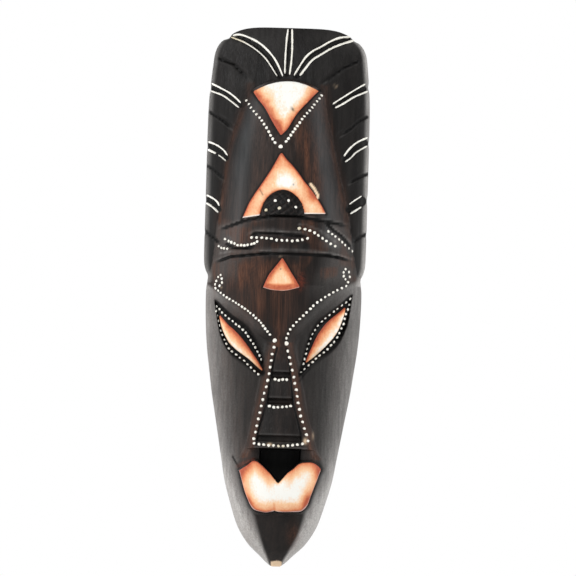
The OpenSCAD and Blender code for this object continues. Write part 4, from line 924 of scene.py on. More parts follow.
def panel_masks(name, x, h, s, t):
    """The airbrushed blush of each panel and its pale edge line, dark marks and flaking."""
    d1, d2 = (near(flowing(path, 60), x, h, 40)[0] for path in PANELS[name][:2])
    cloud = patches(x, h, 4, 4, 21) - 0.5
    fine = patches(x, h, 1.3, 1.5, 22) - 0.5
    dark = pale = np.zeros(x.shape)
    if name == "crown_fan":
        blush = 0.06 + np.maximum(bell(d1 / 7.6, 1.4) * (0.85 + 0.3 * (cloud + 0.5)),
                                  0.74 * bell(d2 / 5.6, 1.4))
        blush += 0.16 * spot(x, h, -28, 434, 8, 7)
        blush += 0.16 * ease((424 - h) / 20) + 0.22 * bell((x - 21) / 6) * (h > 432)
        u, v = x - 3.2, h - 424.3
        dark = np.exp(-(u * 0.8 + v * 0.6) ** 2 - (v * 0.8 - u * 0.6) ** 2 / 4.5)
    elif name == "crown_triangle":
        blush = 0.42 + np.maximum(0.36 * bell(d1 / 3.2, 1.4), 0.34 * bell(d2 / 2.2, 1.5))
        blush += 0.16 * ease((h - 358) / 26) + 0.22 * bell(d1)
        blush -= 0.40 * spot(x, h, -2, 357, 9, 9)
        blush += 0.45 * spot(x, h, 24, 347, 5, 8)
        blush -= 0.12 * spot(x, h, 24, 334, 7, 6)
        crack, _ = near([[-25, 349], [-22, 344]], x, h, 5)
        dark = np.maximum(0.8 * spot(x, h, 6, 354.5, 0.8, 0.8), 0.55 * ease(1 - crack / 1.1))
        foot = np.where(x < 0, h - mix(322.3, 325.3, (x + 40.5) / 16), h - 328)
        pale = ease(1 - foot / 1.6)
    elif name == "brow_triangle":
        base = (1 - s) * 27
        blush = np.maximum(0.37 + 0.60 * bell(np.minimum(d1, d2) / 4.1, 2.4),
                           0.37 + 0.55 * ease((5.8 - base) / 2.6))
        pale = 0.55 * ease(1 - base / 0.9)
        dark = 0.9 * spot(x, h, -3.5, 276, 0.7, 0.7)
    elif name in ("eye_left", "eye_right"):
        faint, inner, outer = (0.14, s, 1 - s) if name == "eye_left" else (0.08, 1 - s, s)
        blush = faint + 0.68 * ease((1.04 - t) / 0.95) + 0.26 * ease((0.34 - t) / 0.34)
        blush += 0.35 * ease((0.16 - inner) / 0.16) + 0.25 * ease((0.2 - outer) / 0.2)
    else:
        low = h - curve(LIPS_LOW, x)
        lobe = np.clip((np.abs(x - 1) - 3) / 8, 0, 1)
        split, _ = near([[-2.5, 51], [-3, 58]], x, h, 4)
        blush = 0.02 + lobe * ((0.68 - 0.12 * (x > 0)) * bell(d1 / 8.6, 2.2)
                               + 0.16 * bell(d1 / 2.5))
        blush += 0.26 * bell(d1 / 3) * (1 - lobe)
        blush += 0.66 * bell(low / 7.0, 1.5) * (0.8 + 0.4 * patches(x, h, 9, 40, 33))
        blush += 0.42 * bell(low / 3) * ease((np.abs(x + 1) - 1) / 5)
        blush += 0.34 * spot(x, h, 27, 62, 5, 9)
        blush += 0.50 * bell(d2 / 7.5, 1.5) * ease((h - 52) / 8)
        blush += 0.2 * ease(1 - split / 1.2)
        pale = np.maximum(0.9 * ease(1 - np.abs(low - 0.9) / 1.0) * (h < 58),
                          0.35 * ease(1 - d2 / 0.9))
    blush = blush + 0.20 * bell(np.minimum(d1, d2) / 0.8)
    rough = 0.5 if name == "lips" else 1.0
    blush = np.clip(blush + rough * (0.14 * cloud + 0.10 * fine), 0, 1)
    return {"blush": blush, "pale": np.clip(pale, 0, 1), "dark": np.clip(dark, 0, 1)}


def make_panel(name, node):
    """A coat of paint on the carving: a closed skin with a rounded edge."""
    paint = bpy.context.scene.mask_paint
    x, h, s, t = panel_grid(name)
    rows, columns = x.shape
    j, i = np.meshgrid(np.arange(rows), np.arange(columns), indexing="ij")
    cells = np.minimum(np.minimum(j, rows - 1 - j), np.minimum(i, columns - 1 - i))
    lift = paint.panel_rise * 1000
    ground = carved_at(x, h)
    masks = panel_masks(name, x, h, s, t)
    rise = np.where(cells == 0, EDGE_SINK, lift * (1 - 0.45 * np.exp(-1.1 * (cells - 1))))
    rise = rise - 0.35 * masks["dark"] + 0.12 * (patches(x, h, 6, 6, 31) - 0.5)
    if name == "lips":
        gap, _ = near([[-2, 50.5], [-3, 58], [-2, 66]], x, h, 5)
        rise = rise - 0.7 * bell(gap / 1.3) * ease((64 - h) / 8)
        rise = rise + 0.9 * bow(np.abs(2 * t - 1), 2.2) * (cells > 0)
    top = place(x, ground + rise, h)
    bottom = place(x, np.minimum(ground, ground + rise) - PANEL_ROOT, h)
    points, faces = shell(top, bottom)
    both = {k: np.concatenate([m.ravel(), m.ravel()]) for k, m in masks.items()}
    piece = make_piece(name + "_paint", points, [faces], airbrushed_paint(), both)
    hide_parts(node)


def stroke(path, width, seed, worn=0.0):
    """A hand-pulled line of thick paint: five points across, rounded over, its width
    drifting along it and closing at both ends. Returns its skin and tint."""
    path = np.array(path, float)
    if np.hypot(path[0, 0] / 75, max(path[0, 1] - 420, 0) / 80) > 0.93:
        path[0] += (path[0] - path[1]) / np.hypot(*(path[0] - path[1])) * 3.4
        edge = curve(OUTLINE, min(path[0, 1], 490)) - 0.7
        path[0] = np.clip(path[0], [-edge if path[0, 1] < 485 else -75, 0],
                          [edge if path[0, 1] < 485 else 75, 498.8])
    n = max(6, int(lengths(path)[-1] / 0.8))
    p = flowing(path, n)
    d = np.gradient(p, axis=0)
    d /= np.hypot(*d.T)[:, None]
    side = np.stack([d[:, 1], -d[:, 0]], 1)
    s = np.linspace(0, 1, n + 1)
    drift = 0.82 + 0.36 * patches(s * 60, s * 0 + seed, 5, 1, seed)
    end = np.clip(1 - np.abs(2 * s - 1) ** max(8, n // 2), 0.02, 1) ** 0.5
    half = width / 2 * drift * end
    across, humps = np.transpose(STROKE_SHAPE)
    q = p[:, None] + side[:, None] * (half[:, None] * across)[..., None]
    ground = carved_at(q[..., 0], q[..., 1])
    lump = 0.75 + 0.5 * patches(s * 60, s * 0 + seed, 2.2, 1, seed + 40)
    top = place(q[..., 0], ground + humps * (lump * np.sqrt(end))[:, None], q[..., 1])
    bottom = place(q[..., 0], ground - STROKE_ROOT, q[..., 1])
    tint = worn * np.ones(n + 1) if np.isscalar(worn) else np.interp(s, *worn)
    return shell(top, bottom), np.tile(np.repeat(tint, len(across)), 2)


def make_strokes(name, node, lines, seed):
    """All the painted lines of one side of the hood as one piece."""
    width = bpy.context.scene.mask_paint.line_width * 1000
    shells, tints = zip(*[stroke(path, width * wide, seed + k, worn)
                          for k, (path, wide, worn) in enumerate(lines)])
    points, faces = joined(shells)
    piece = make_piece(name, points, [faces], thick_paint(), {"tint": np.concatenate(tints)})
    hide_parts(node)


def make_drops(name, seed):
    """Rows of raised drops: each is a dome of rings of points on the carving, its outline a
    circle with a slow wave, standing along the surface's outward direction."""
    paint = bpy.context.scene.mask_paint
    rng = np.random.default_rng(seed)
    sizes = {"b": paint.large_drop * 1000, "m": paint.drop * 1000, "f": paint.small_drop * 1000,
             "y": paint.drop * 1000, "c": paint.drop * 1080}
    spots, ways, kinds = [], [], []
    for path, count, kind in DROPS[name]:
        row = along(path, np.linspace(0, 1, count) if count > 1 else [0])
        spots.append(row)
        ways.append(np.gradient(row, axis=0) if count > 1 else [[1.0, 0.0]])
        kinds += [kind] * count
    n = len(kinds)
    spots = np.concatenate(spots) + rng.normal(0, 0.16, (n, 2))
    ways = np.concatenate(ways)
    # drops that are half rubbed away along the nose's foot, and sunk ones
    rubbed = bell((spots[:, 0] - 1) / 4) * (name == "nose_base_drops")
    crater = np.array([float(kind == "c") for kind in kinds])
    width = np.array([sizes[kind] for kind in kinds]) * (0.96 + 0.2 * (rng.random(n) - 0.5))
    width *= 1 - 0.12 * rubbed
    tint = np.array([YELLOWED.get(kind, 0.0) for kind in kinds])
    tint = np.clip(tint + 0.10 * rng.random(n) + 0.75 * rubbed, 0, 1)
    x, h = spots.T
    up = outward(x, h)
    ahead = np.stack([ways[:, 0], 0 * x, ways[:, 1]], 1)
    ahead -= up * (ahead * up).sum(1, keepdims=True)
    ahead /= np.linalg.norm(ahead, axis=1, keepdims=True)
    aside = np.cross(ahead, up)
    # drops on the brows and lids run along the row, and the top ones of the V lie across it
    stretch = 1 + 0.10 * (width < paint.drop * 900) + 0.1 * (rng.random(n) - 0.5)
    if name == "crown_v_drops":
        stretch = stretch - 0.38 * ease((h - 408) / 18)
    base = np.stack([x, -carved_at(x, h), h], 1)
    high = paint.drop_rise * 1000 * (0.8 + 0.4 * rng.random(n)) * np.minimum(width / 2.8, 1.15)
    high *= 1 - 0.5 * rubbed
    angle = np.linspace(0, 2 * np.pi, DOME_SIDES + 1)[:-1]
    wave = 1 + 0.08 * np.cos(2 * angle + 6.3 * rng.random((n, 1))) \
        + 0.05 * np.cos(3 * angle + 6.3 * rng.random((n, 1)))
    r = width[:, None, None] / 2 * DOME_RADIUS[:, None] * wave[:, None]
    z = np.where(DOME_HEIGHT < 0, DOME_HEIGHT, DOME_HEIGHT * high[:, None]
                 * np.where(DOME_RADIUS < 0.5, 1 - 0.7 * crater[:, None], 1))
    rings = (base[:, None, None] + r[..., None] * (
        np.cos(angle)[:, None] * aside[:, None, None]
        + np.sin(angle)[:, None] * (ahead * stretch[:, None])[:, None, None])
        + z[..., None, None] * up[:, None, None])
    ends = [(base + up * (high * (1.03 - 0.75 * crater))[:, None])[:, None],
            (base - up * DOME_ROOT)[:, None]]
    local = np.concatenate([rings.reshape(n, -1, 3), *ends], 1)
    each = local.shape[1]
    k = np.arange(DOME_SIDES)
    nxt, last = np.roll(k, -1), each - 2 - DOME_SIDES
    quads = np.concatenate([np.stack([m + k, m + nxt, m + DOME_SIDES + nxt, m + DOME_SIDES + k], 1)
                            for m in range(0, last, DOME_SIDES)])
    caps = np.concatenate([np.stack([last + k, last + nxt, np.full_like(k, each - 2)], 1),
                           np.stack([nxt, k, np.full_like(k, each - 1)], 1)])
    first = each * np.arange(n)[:, None, None]
    points = place(local[..., 0], -local[..., 1], local[..., 2])
    piece = make_piece(name + "_paint", points,
                       [(quads + first).reshape(-1, 4), (caps + first).reshape(-1, 3)],
                       thick_paint(), {"tint": np.repeat(tint[:, None], each, 1)})
    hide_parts(name)


# ------------------------------------------------------------------ finishes
RUST = (0.18, 0.11, 0.07)


def feed(node, inputs):
    """Gives a node's sockets values, or links from other sockets."""
    for key, value in inputs.items():
        if isinstance(value, bpy.types.NodeSocket):
            node.id_data.links.new(value, node.inputs[key])
        else:
            node.inputs[key].default_value = value


def nodes_of(tree):
    """A short way to add a node with its settings and inputs."""
    def add(kind, inputs=None, **settings):
        node = tree.nodes.new(kind)
        for key, value in settings.items():
            setattr(node, key, value)
        feed(node, inputs or {})
        return node
    return add


def new_group(name, inputs, outputs):
    """An empty node group with its sockets: the group, its add and its own inputs."""
    tree = bpy.data.node_groups.new(name, "ShaderNodeTree")
    for key, value in inputs.items():
        tree.interface.new_socket(key, in_out="INPUT",
                                  socket_type="NodeSocketFloat").default_value = value
    for key in outputs:
        tree.interface.new_socket(key, in_out="OUTPUT", socket_type="NodeSocketFloat")
    add = nodes_of(tree)
    return tree, add, add("NodeGroupInput").outputs


def grain_group():
    """Node group: long wood fibres. Object space in millimetres is squeezed along the
    height, and two noises give fine fibres, broad bands and a height."""
    if "wood_fibres" in bpy.data.node_groups:
        return bpy.data.node_groups["wood_fibres"]
    tree, add, given = new_group(
        "wood_fibres", {"Fibre Width": 1.1, "Fibre Length": 34.0, "Roughening": 0.55},
        ("Fibres", "Bands", "Height"))
    mm = add("ShaderNodeVectorMath", {0: add("ShaderNodeTexCoord").outputs["Object"],
                                      1: (1000, 1000, 1000)}, operation="MULTIPLY").outputs[0]
    squeeze = add("ShaderNodeCombineXYZ", {"X": given["Fibre Width"], "Y": given["Fibre Width"],
                                           "Z": given["Fibre Length"]}).outputs[0]
    cell = add("ShaderNodeVectorMath", {0: mm, 1: squeeze}, operation="DIVIDE").outputs[0]
    fibres = add("ShaderNodeTexNoise", {"Vector": cell, "Scale": 1.0, "Detail": 4.0,
                                        "Roughness": given["Roughening"]}).outputs["Fac"]
    wide = add("ShaderNodeVectorMath", {0: cell, 1: (0.16, 0.16, 0.4)},
               operation="MULTIPLY").outputs[0]
    bands = add("ShaderNodeTexNoise", {"Vector": wide, "Scale": 1.0, "Detail": 3.0,
                                       "Distortion": 0.4}).outputs["Fac"]
    add("NodeGroupOutput", {"Fibres": fibres, "Bands": bands,
                            "Height": plus(add, fibres, bands)})
    return tree


def speckle_group():
    """Node group: small marks. A noise in millimetres is cut at a level, so Marks is 1 on
    the marks, and Cloud is the same noise uncut."""
    if "small_marks" in bpy.data.node_groups:
        return bpy.data.node_groups["small_marks"]
    tree, add, given = new_group("small_marks", {"Mark Size": 2.0, "Level": 0.62,
                                                 "Softness": 0.06}, ("Marks", "Cloud"))
    per_metre = add("ShaderNodeMath", {0: 1000.0, 1: given["Mark Size"]},
                    operation="DIVIDE").outputs[0]
    noise = add("ShaderNodeTexNoise", {
        "Vector": add("ShaderNodeTexCoord").outputs["Object"], "Scale": per_metre,
        "Detail": 5.0, "Roughness": 0.6}).outputs["Fac"]
    marks = span(add, noise, given["Level"], plus(add, given["Level"], given["Softness"]))
    add("NodeGroupOutput", {"Marks": marks, "Cloud": noise})
    return tree


def new_material(name):
    """An empty material with its shader and output: the material, its add and the shader."""
    material = bpy.data.materials.new(name)
    material.use_nodes = True
    material.node_tree.nodes.clear()
    add = nodes_of(material.node_tree)
    shader = add("ShaderNodeBsdfPrincipled")
    add("ShaderNodeOutputMaterial", {"Surface": shader.outputs[0]})
    return material, add, shader


def finish(build):
    """Turns a function that feeds a shader into one that gives its material, which is made
    once and named after the function."""
    def given():
        material = bpy.data.materials.get(build.__name__)
        if material is None:
            material, add, shader = new_material(build.__name__)
            feed(shader, build(add))
        return material
    return given


def group(add, tree, **values):
    """One use of a node group with its own values."""
    node = add("ShaderNodeGroup", node_tree=tree)
    for key, value in values.items():
        node.inputs[key.replace("_", " ")].default_value = value
    return node.outputs


def blend(add, one, two, share):
    """Colour mixed by a share."""
    return add("ShaderNodeMix", {"Factor": share, 6: one, 7: two},
               data_type="RGBA").outputs[2]


def span(add, value, low, high, to_low=0.0, to_high=1.0):
    """A value stretched from one range to another, level outside it."""
    return add("ShaderNodeMapRange", {"Value": value, "From Min": low, "From Max": high,
                                      "To Min": to_low, "To Max": to_high},
               clamp=True).outputs["Result"]


def times(add, one, two):
    """Product of two values."""
    return add("ShaderNodeMath", {0: one, 1: two}, operation="MULTIPLY").outputs[0]


def plus(add, one, two):
    """Sum of two values."""
    return add("ShaderNodeMath", {0: one, 1: two}, operation="ADD").outputs[0]


def dented(add, height, strength, depth, **more):
    """Normal of a bump so many metres deep."""
    return add("ShaderNodeBump", {"Height": height, "Strength": strength, "Distance": depth,
                                  **more}).outputs[0]


def mask(add, name):
    """One of the piece's own masks."""
    return add("ShaderNodeAttribute", attribute_name=name).outputs["Fac"]


def shade(colour, share=1.0):
    """A colour with its alpha, darkened to a share of itself."""
    return (*(share * c for c in colour), 1.0)


@finish
def stained_wood(add):
    """Black-stained carved wood: charcoal over brown fibres, rubbed through where worn, greyed and
    lit with painted highlight and a cool painted sheen, inked and darkened with painted shade in
    the cuts, raw in the hollow."""
    paint = bpy.context.scene.mask_paint
    fibre = group(add, grain_group(), Fibre_Width=1.0, Fibre_Length=30.0, Roughening=0.6)
    marks = group(add, speckle_group(), Mark_Size=3.0, Level=0.60, Softness=0.08)
    fine_speckle = group(add, speckle_group(), Mark_Size=1.4, Level=0.60, Softness=0.2)
    fibres, bands, cloud = fibre["Fibres"], fibre["Bands"], marks["Cloud"]
    # grey stain and painted highlight, broken up by the fibres and a fine speckle
    ash_and_highlight = times(add, mask(add, "ash_and_highlight"), span(add, fibres, 0.25, 0.75, 0.62, 1.0))
    ash_and_highlight = times(add, ash_and_highlight, span(add, fine_speckle["Cloud"], 0.33, 0.67, 0.8, 1.2))
    brown = blend(add, shade(paint.brown), shade(paint.brown, 0.35),
                  span(add, fibres, 0.4, 0.65))
    worn = times(add, mask(add, "worn"), span(add, bands, 0.3, 0.6, 0.35, 1.0))
    haze = times(add, mask(add, "haze"), span(add, cloud, 0.35, 0.65))
    raw = blend(add, shade(paint.raw), shade(paint.raw, 0.55), span(add, fibres, 0.3, 0.75))
    colour = blend(add, shade(paint.black), shade(paint.charcoal), span(add, bands, 0.35, 0.7))
    # over the stain in turn: the cool painted sheen, the grey and painted highlight, the brown
    # wear, the ink and painted shade, the orange haze, the bare chips and the raw hollow
    for over, share in ((shade(paint.sheen_slate), mask(add, "painted_sheen")), (shade(paint.ash_and_highlight), ash_and_highlight),
                        (brown, worn), (shade(paint.black, 0.3), mask(add, "ink_and_shade")),
                        (shade(paint.ember), haze), (shade(paint.bare), mask(add, "bare")),
                        (raw, mask(add, "raw"))):
        colour = blend(add, colour, over, share)
    rough = plus(add, span(add, fibres, 0.3, 0.7, 0.40, 0.62),
                 times(add, mask(add, "raw"), 0.25))
    grain = dented(add, fibre["Height"], 0.35, 0.0006)
    return {"Base Color": colour, "Roughness": rough, "Specular IOR Level": 0.16,
            "Normal": dented(add, cloud, 0.2, 0.0008, Normal=grain)}


@finish
def airbrushed_paint(add):
    """Airbrushed panel paint: white through peach and orange to ember, with its pale edge
    line, dark marks, fine flaking and brushed bump."""
    paint = bpy.context.scene.mask_paint
    fibre = group(add, grain_group(), Fibre_Width=0.9, Fibre_Length=12.0, Roughening=0.5)
    marks = group(add, speckle_group(), Mark_Size=1.6, Level=0.66, Softness=0.05)
    blush = plus(add, mask(add, "blush"), span(add, marks["Cloud"], 0.3, 0.7, -0.05, 0.05))
    blush = plus(add, blush, span(add, fibre["Fibres"], 0.3, 0.7, -0.04, 0.04))
    sprayed = add("ShaderNodeValToRGB", {"Fac": blush})
    stops = sprayed.color_ramp.elements
    stops[0].position, stops[0].color = 0.10, shade(paint.white)
    stops[1].position, stops[1].color = 1.0, shade(paint.ember)
    for position, colour in ((0.34, paint.peach), (0.68, paint.orange)):
        stops.new(position).color = shade(colour)
    colour = sprayed.outputs[0]
    for over, share in ((paint.white, times(add, mask(add, "pale"), 0.85)),
                        (paint.black, mask(add, "dark")),
                        (paint.brown, times(add, marks["Marks"], 0.18))):
        colour = blend(add, colour, shade(over), share)
    return {"Base Color": colour, "Specular IOR Level": 0.35,
            "Roughness": span(add, marks["Cloud"], 0.3, 0.7, 0.48, 0.66),
            "Normal": dented(add, fibre["Height"], 0.25, 0.0004)}


@finish
def thick_paint(add):
    """Thick bone-white paint of the lines and drops, yellowed and dirtied by its tint."""
    paint = bpy.context.scene.mask_paint
    marks = group(add, speckle_group(), Mark_Size=1.1, Level=0.62, Softness=0.08)
    fibre = group(add, grain_group(), Fibre_Width=0.6, Fibre_Length=4.0, Roughening=0.5)
    tint, aged = mask(add, "tint"), shade(paint.aged)
    colour = blend(add, shade(paint.bone), aged, span(add, marks["Cloud"], 0.35, 0.7, 0.0, 0.35))
    colour = blend(add, colour, aged, tint)
    dirt = times(add, marks["Marks"], span(add, tint, 0.0, 1.0, 0.15, 0.9))
    return {"Base Color": blend(add, colour, shade(paint.brown), dirt),
            "Roughness": span(add, marks["Cloud"], 0.3, 0.7, 0.36, 0.55),
            "Normal": dented(add, fibre["Height"], 0.2, 0.0003)}


@finish
def zinc_plate(add):
    """Zinc-plated steel, drawn along its length, dulled in patches."""
    steel = bpy.context.scene.mask_hanger
    marks = group(add, speckle_group(), Mark_Size=2.4, Level=0.58, Softness=0.1)
    fibres = group(add, grain_group(), Fibre_Width=0.15, Fibre_Length=5.0,
                   Roughening=0.6)["Fibres"]
    colour = blend(add, shade(steel.colour), shade(steel.colour, 0.6),
                   span(add, marks["Cloud"], 0.4, 0.75))
    colour = blend(add, colour, shade(RUST), times(add, marks["Marks"], 0.25))
    rough = span(add, fibres, 0.3, 0.7, steel.roughness - 0.08, steel.roughness + 0.14)
    return {"Base Color": colour, "Metallic": 1.0, "Roughness": rough,
            "Normal": dented(add, fibres, 0.12, 0.0001)}


@finish
def studio_floor(add):
    """Pale floor with a faint cloud in it."""
    floor = bpy.context.scene.mask_studio.floor
    cloud = group(add, speckle_group(), Mark_Size=60.0)["Cloud"]
    return {"Base Color": blend(add, shade(floor), shade(floor, 0.96), cloud),
            "Roughness": 0.8}


# ------------------------------------------------------------------ sizes and colours
def length(name, description, default, low=0.0, high=0.01):
    """A size in metres."""
    return FloatProperty(name=name, description=description, default=default, min=low,
                         max=high, unit="LENGTH", subtype="DISTANCE", precision=5)


def colour(name, description, default):
    """A paint or wood colour."""
    return FloatVectorProperty(name=name, description=description, default=default, size=3,
                               min=0.0, max=1.0, subtype="COLOR")


class MASK_PG_carving(bpy.types.PropertyGroup):
    """Sizes of the small gouges."""
    ray_depth: length("Ray depth", "Depth of the gouges between the painted lines", 0.0016)
    groove_depth: length("Groove depth", "Depth of the hood's unpainted grooves", 0.0016)
    groove_width: length("Groove width", "Width of the grooves", 0.0019, 0.0005)
    band_depth: length("Band line depth", "Depth of the lines round the forehead", 0.0015)
    tool_marks: length("Tool marks", "Depth of the knife's facets", 0.00028)


class MASK_PG_paint(bpy.types.PropertyGroup):
    """Sizes and colours of the paint."""
    panel_rise: length("Panel rise", "Height of a panel's paint above the wood", 0.0005)
    line_width: length("Line width", "Width of a painted line", 0.0017, 0.0005)
    drop: length("Drop", "Diameter of a medium drop", 0.0029, 0.001)
    small_drop: length("Small drop", "Diameter of a drop on the brows and lids", 0.0024, 0.001)
    large_drop: length("Large drop", "Diameter of the large drops", 0.0040, 0.001)
    drop_rise: length("Drop rise", "Height of a drop above the wood", 0.0010)
    black: colour("Black stain", "Stain over the whole carving", (0.0056, 0.0048, 0.0045))
    charcoal: colour("Charcoal", "Thinner stain on the bands of the grain",
                     (0.0138, 0.0121, 0.0113))
    # this grey is also the colour of the painted highlights on the rim, ridges, cheeks and chin
    ash_and_highlight: colour("Ash", "Greyed stain on the cheeks and rim", (0.56, 0.54, 0.52))
    # the colour of the painted sheen on the crown's flanks
    sheen_slate: colour("Slate", "Cool sheen on the crown's flanks", (0.036, 0.040, 0.0425))
    brown: colour("Brown", "Wood rubbed through the stain", (0.112, 0.046, 0.026))
    bare: colour("Bare wood", "Fresh chips", (0.83, 0.62, 0.42))
    raw: colour("Raw wood", "Unstained wood of the hollow", (0.36, 0.215, 0.115))
    white: colour("White", "Palest paint of the panels", (0.86, 0.85, 0.80))
    peach: colour("Peach", "Thin blush", (0.87, 0.565, 0.335))
    orange: colour("Orange", "Full blush", (0.71, 0.245, 0.102))
    ember: colour("Ember", "Deepest red of the edges", (0.40, 0.075, 0.032))
    bone: colour("Bone", "Lines and drops", (0.93, 0.92, 0.87))
    aged: colour("Aged bone", "Yellowed paint", (0.62, 0.53, 0.34))


class MASK_PG_hanger(bpy.types.PropertyGroup):
    """Finish of the hanger."""
    colour: colour("Steel", "Colour of the zinc plate", (0.60, 0.61, 0.62))
    roughness: FloatProperty(name="Roughness", description="How dull the zinc is",
                             default=0.30, min=0.1, max=0.8, subtype="FACTOR")


class MASK_PG_studio(bpy.types.PropertyGroup):
    """Light, floor and camera."""
    view_height: length("View height", "Height that the camera takes in", 0.5341, 0.1, 2.0)
    view_x: length("View x", "Sideways place of the view's middle", 0.0038, -0.2, 0.2)
    view_z: length("View z", "Height of the view's middle", -0.2165, -1.0, 0.5)
    roll: FloatProperty(name="Roll", description="Lean of the camera", unit="ROTATION",
                        subtype="ANGLE", default=math.radians(-1.72))
    dome: FloatProperty(name="Dome light", description="Brightness of the white surround",
                        default=0.34, min=0.0, max=3.0)
    key: FloatProperty(name="Key light", description="Power of the large softbox",
                       default=14.5, min=0.0, max=500.0, unit="POWER")
    floor: colour("Floor", "Colour of the floor", (0.86, 0.86, 0.86))


# ------------------------------------------------------------------ operators
FLOOR_HALF, FLOOR_GAP = 1.5, 0.012  # half the floor's side, and how far below the mask it is
LIT_PLACE_Y, CAMERA_Y = -0.03, -2.0  # where the lamps aim, and where the camera stands

# Softboxes: [name, place, size, share of the key light's power]
LAMPS = [["key_softbox", (-0.55, -1.3, 0.55), 0.7, 1],
    ["left_softbox", (-1.1, -0.25, -0.3), 0.9, 0.55],
    ["right_softbox", (1.1, -0.3, -0.2), 0.9, 0.6],
    ["back_softbox", (-0.8, 1.3, 0.5), 0.5, 1]]


class MASK_OT_carve(bpy.types.Operator):
    """Carve the wooden body with its hood, crown, face and hollow back"""
    bl_idname = "mask.carve"
    bl_label = "Carved body"

    def execute(self, context):
        points, faces, masks = body_mesh()
        piece = make_piece("carved_body", points, faces, stained_wood(), masks,
                           sharp=SHARP_ANGLE)
        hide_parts("mask_body")
        return {"FINISHED"}


class MASK_OT_crown_panels(bpy.types.Operator):
    """Paint the fan and the triangle of the crown"""
    bl_idname = "mask.crown_panels"
    bl_label = "Crown panels"

    def execute(self, context):
        make_panel("crown_fan", "crown_fan_panel")
        make_panel("crown_triangle", "crown_triangle_panel")
        return {"FINISHED"}


class MASK_OT_face_panels(bpy.types.Operator):
    """Paint the brow triangle, both eyes and the lips"""
    bl_idname = "mask.face_panels"
    bl_label = "Face panels"

    def execute(self, context):
        make_panel("brow_triangle", "brow_triangle_panel")
        make_panel("eye_left", "eye_panel_left")
        make_panel("eye_right", "eye_panel_right")
        make_panel("lips", "lips_panel")
        return {"FINISHED"}


class MASK_OT_ray_lines(bpy.types.Operator):
    """Pull the painted lines along the hood's gouges"""
    bl_idname = "mask.ray_lines"
    bl_label = "Ray lines"

    def execute(self, context):
        top = [(RAYS_TOP[0][0], 1.0, 0.0), (RAYS_TOP[0][1], 1.05, 0.1),
               (RAYS_TOP[1][0], 1.15, 0.0),
               (RAYS_TOP[1][1], 0.8, ([0, 0.15, 0.3, 1], [0.9, 0.6, 0.1, 0.0])),
               (RAYS_TOP[2][0], 1.15, 0.05), (RAYS_TOP[2][1], 1.15, 0.05)]
        left = [(RAYS_LEFT[0][0], 1.0, 0.0), (RAYS_LEFT[0][1], 1.0, 0.0),
                (RAYS_LEFT[1][0], 1.0, 0.0), ([[-72, 383.5], [-69.5, 382.6], [-66.5, 381.3]],
                                              1.35, 0.0),
                ([[-64.5, 380], [-61, 377.8], [-57, 374.5]], 0.8, 0.1),
                (RAYS_LEFT[2][0], 1.0, 0.0), (RAYS_LEFT[2][1], 1.1, 0.0)]
        right = [(RAYS_RIGHT[0][0], 0.85, 0.0), (RAYS_RIGHT[0][1], 1.05, 0.0),
                 (RAYS_RIGHT[1][0], 1.1, 0.0), (RAYS_RIGHT[1][1], 0.85, 0.0),
                 (RAYS_RIGHT[2][0], 0.8, 0.0), (RAYS_RIGHT[2][1], 1.05, 0.0)]
        for side, lines, seed in (("top", top, 50), ("left", left, 60), ("right", right, 70)):
            make_strokes(f"ray_lines_{side}_paint", f"ray_lines_{side}", lines, seed)
        return {"FINISHED"}


class MASK_OT_drops(bpy.types.Operator):
    """Set every row of raised paint drops"""
    bl_idname = "mask.drops"
    bl_label = "Raised drops"

    def execute(self, context):
        for seed, name in enumerate(DROPS):
            make_drops(name, 100 + seed)
        return {"FINISHED"}


class MASK_OT_hanger(bpy.types.Operator):
    """Finish the strap, the ring and the screw in zinc-plated steel"""
    bl_idname = "mask.hanger"
    bl_label = "Hanger"

    def execute(self, context):
        for node in ("hanger_strap", "hanger_ring", "hanger_screw"):
            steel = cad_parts[node]
            steel.data.materials.clear()
            steel.data.materials.append(zinc_plate())
        return {"FINISHED"}


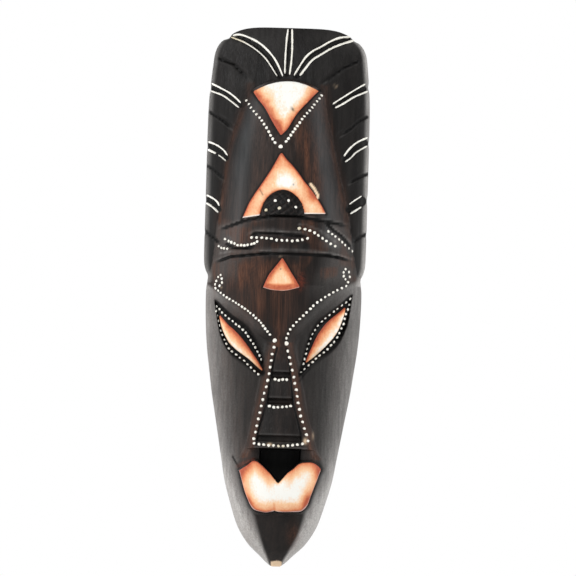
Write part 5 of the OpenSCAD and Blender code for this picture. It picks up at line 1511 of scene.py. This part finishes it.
class MASK_OT_studio(bpy.types.Operator):
    """Set the floor, the soft light and the camera"""
    bl_idname = "mask.studio"
    bl_label = "Studio"

    def execute(self, context):
        scene = context.scene
        studio = scene.mask_studio
        scene.view_settings.view_transform = "Standard"
        # the camera sees plain white, while the mask is lit by a dimmer dome
        world = bpy.data.worlds.new("white_surround")
        world.use_nodes = True
        add = nodes_of(world.node_tree)
        seen = add("ShaderNodeLightPath").outputs["Is Camera Ray"]
        strength = add("ShaderNodeMapRange", {"Value": seen, "To Min": studio.dome,
                                              "To Max": 1.0}).outputs["Result"]
        feed(world.node_tree.nodes["Background"], {"Color": (1, 1, 1, 1),
                                                   "Strength": strength})
        scene.world = world

        half, z = FLOOR_HALF, CAD_LOW.z - FLOOR_GAP
        mesh = bpy.data.meshes.new("floor")
        mesh.from_pydata([(-half, -half, z), (half, -half, z), (half, half, z),
                          (-half, half, z)], [], [(0, 1, 2, 3)])
        mesh.materials.append(studio_floor())
        floor = put("floor", mesh)

        middle = Vector((0, LIT_PLACE_Y, studio.view_z))
        for name, where, size, share in LAMPS:
            lamp = bpy.data.lights.new(name, "AREA")
            lamp.size, lamp.energy = size, studio.key * share
            put(name, lamp, where,
                (middle - Vector(where)).to_track_quat("-Z", "Y").to_euler())
        view = bpy.data.cameras.new("camera")
        view.type = "ORTHO"
        view.ortho_scale = studio.view_height
        view.clip_start, view.clip_end = 0.05, 10
        scene.camera = put("camera", view, (studio.view_x, CAMERA_Y, studio.view_z),
                           (math.radians(90), studio.roll, 0))
        return {"FINISHED"}


class MASK_PT_panel(bpy.types.Panel):
    """Steps of the mask in the order they are made"""
    bl_label = "Carved Wall Mask"
    bl_space_type = "VIEW_3D"
    bl_region_type = "UI"
    bl_category = "Mask"

    def draw(self, context):
        for step in STEPS:
            self.layout.operator(step.bl_idname)


STEPS = (MASK_OT_carve, MASK_OT_crown_panels, MASK_OT_face_panels, MASK_OT_ray_lines,
         MASK_OT_drops, MASK_OT_hanger, MASK_OT_studio)
GROUPS = {"mask_carving": MASK_PG_carving, "mask_paint": MASK_PG_paint,
          "mask_hanger": MASK_PG_hanger, "mask_studio": MASK_PG_studio}
CLASSES = (*GROUPS.values(), *STEPS, MASK_PT_panel)


def register():
    for cls in CLASSES:
        bpy.utils.register_class(cls)
    for name, cls in GROUPS.items():
        setattr(bpy.types.Scene, name, PointerProperty(type=cls))


def unregister():
    for name in GROUPS:
        delattr(bpy.types.Scene, name)
    for cls in reversed(CLASSES):
        bpy.utils.unregister_class(cls)


def main():
    register()
    for step in STEPS:
        prefix, name = step.bl_idname.split(".")
        getattr(getattr(bpy.ops, prefix), name)()


if __name__ == "__main__":
    main()
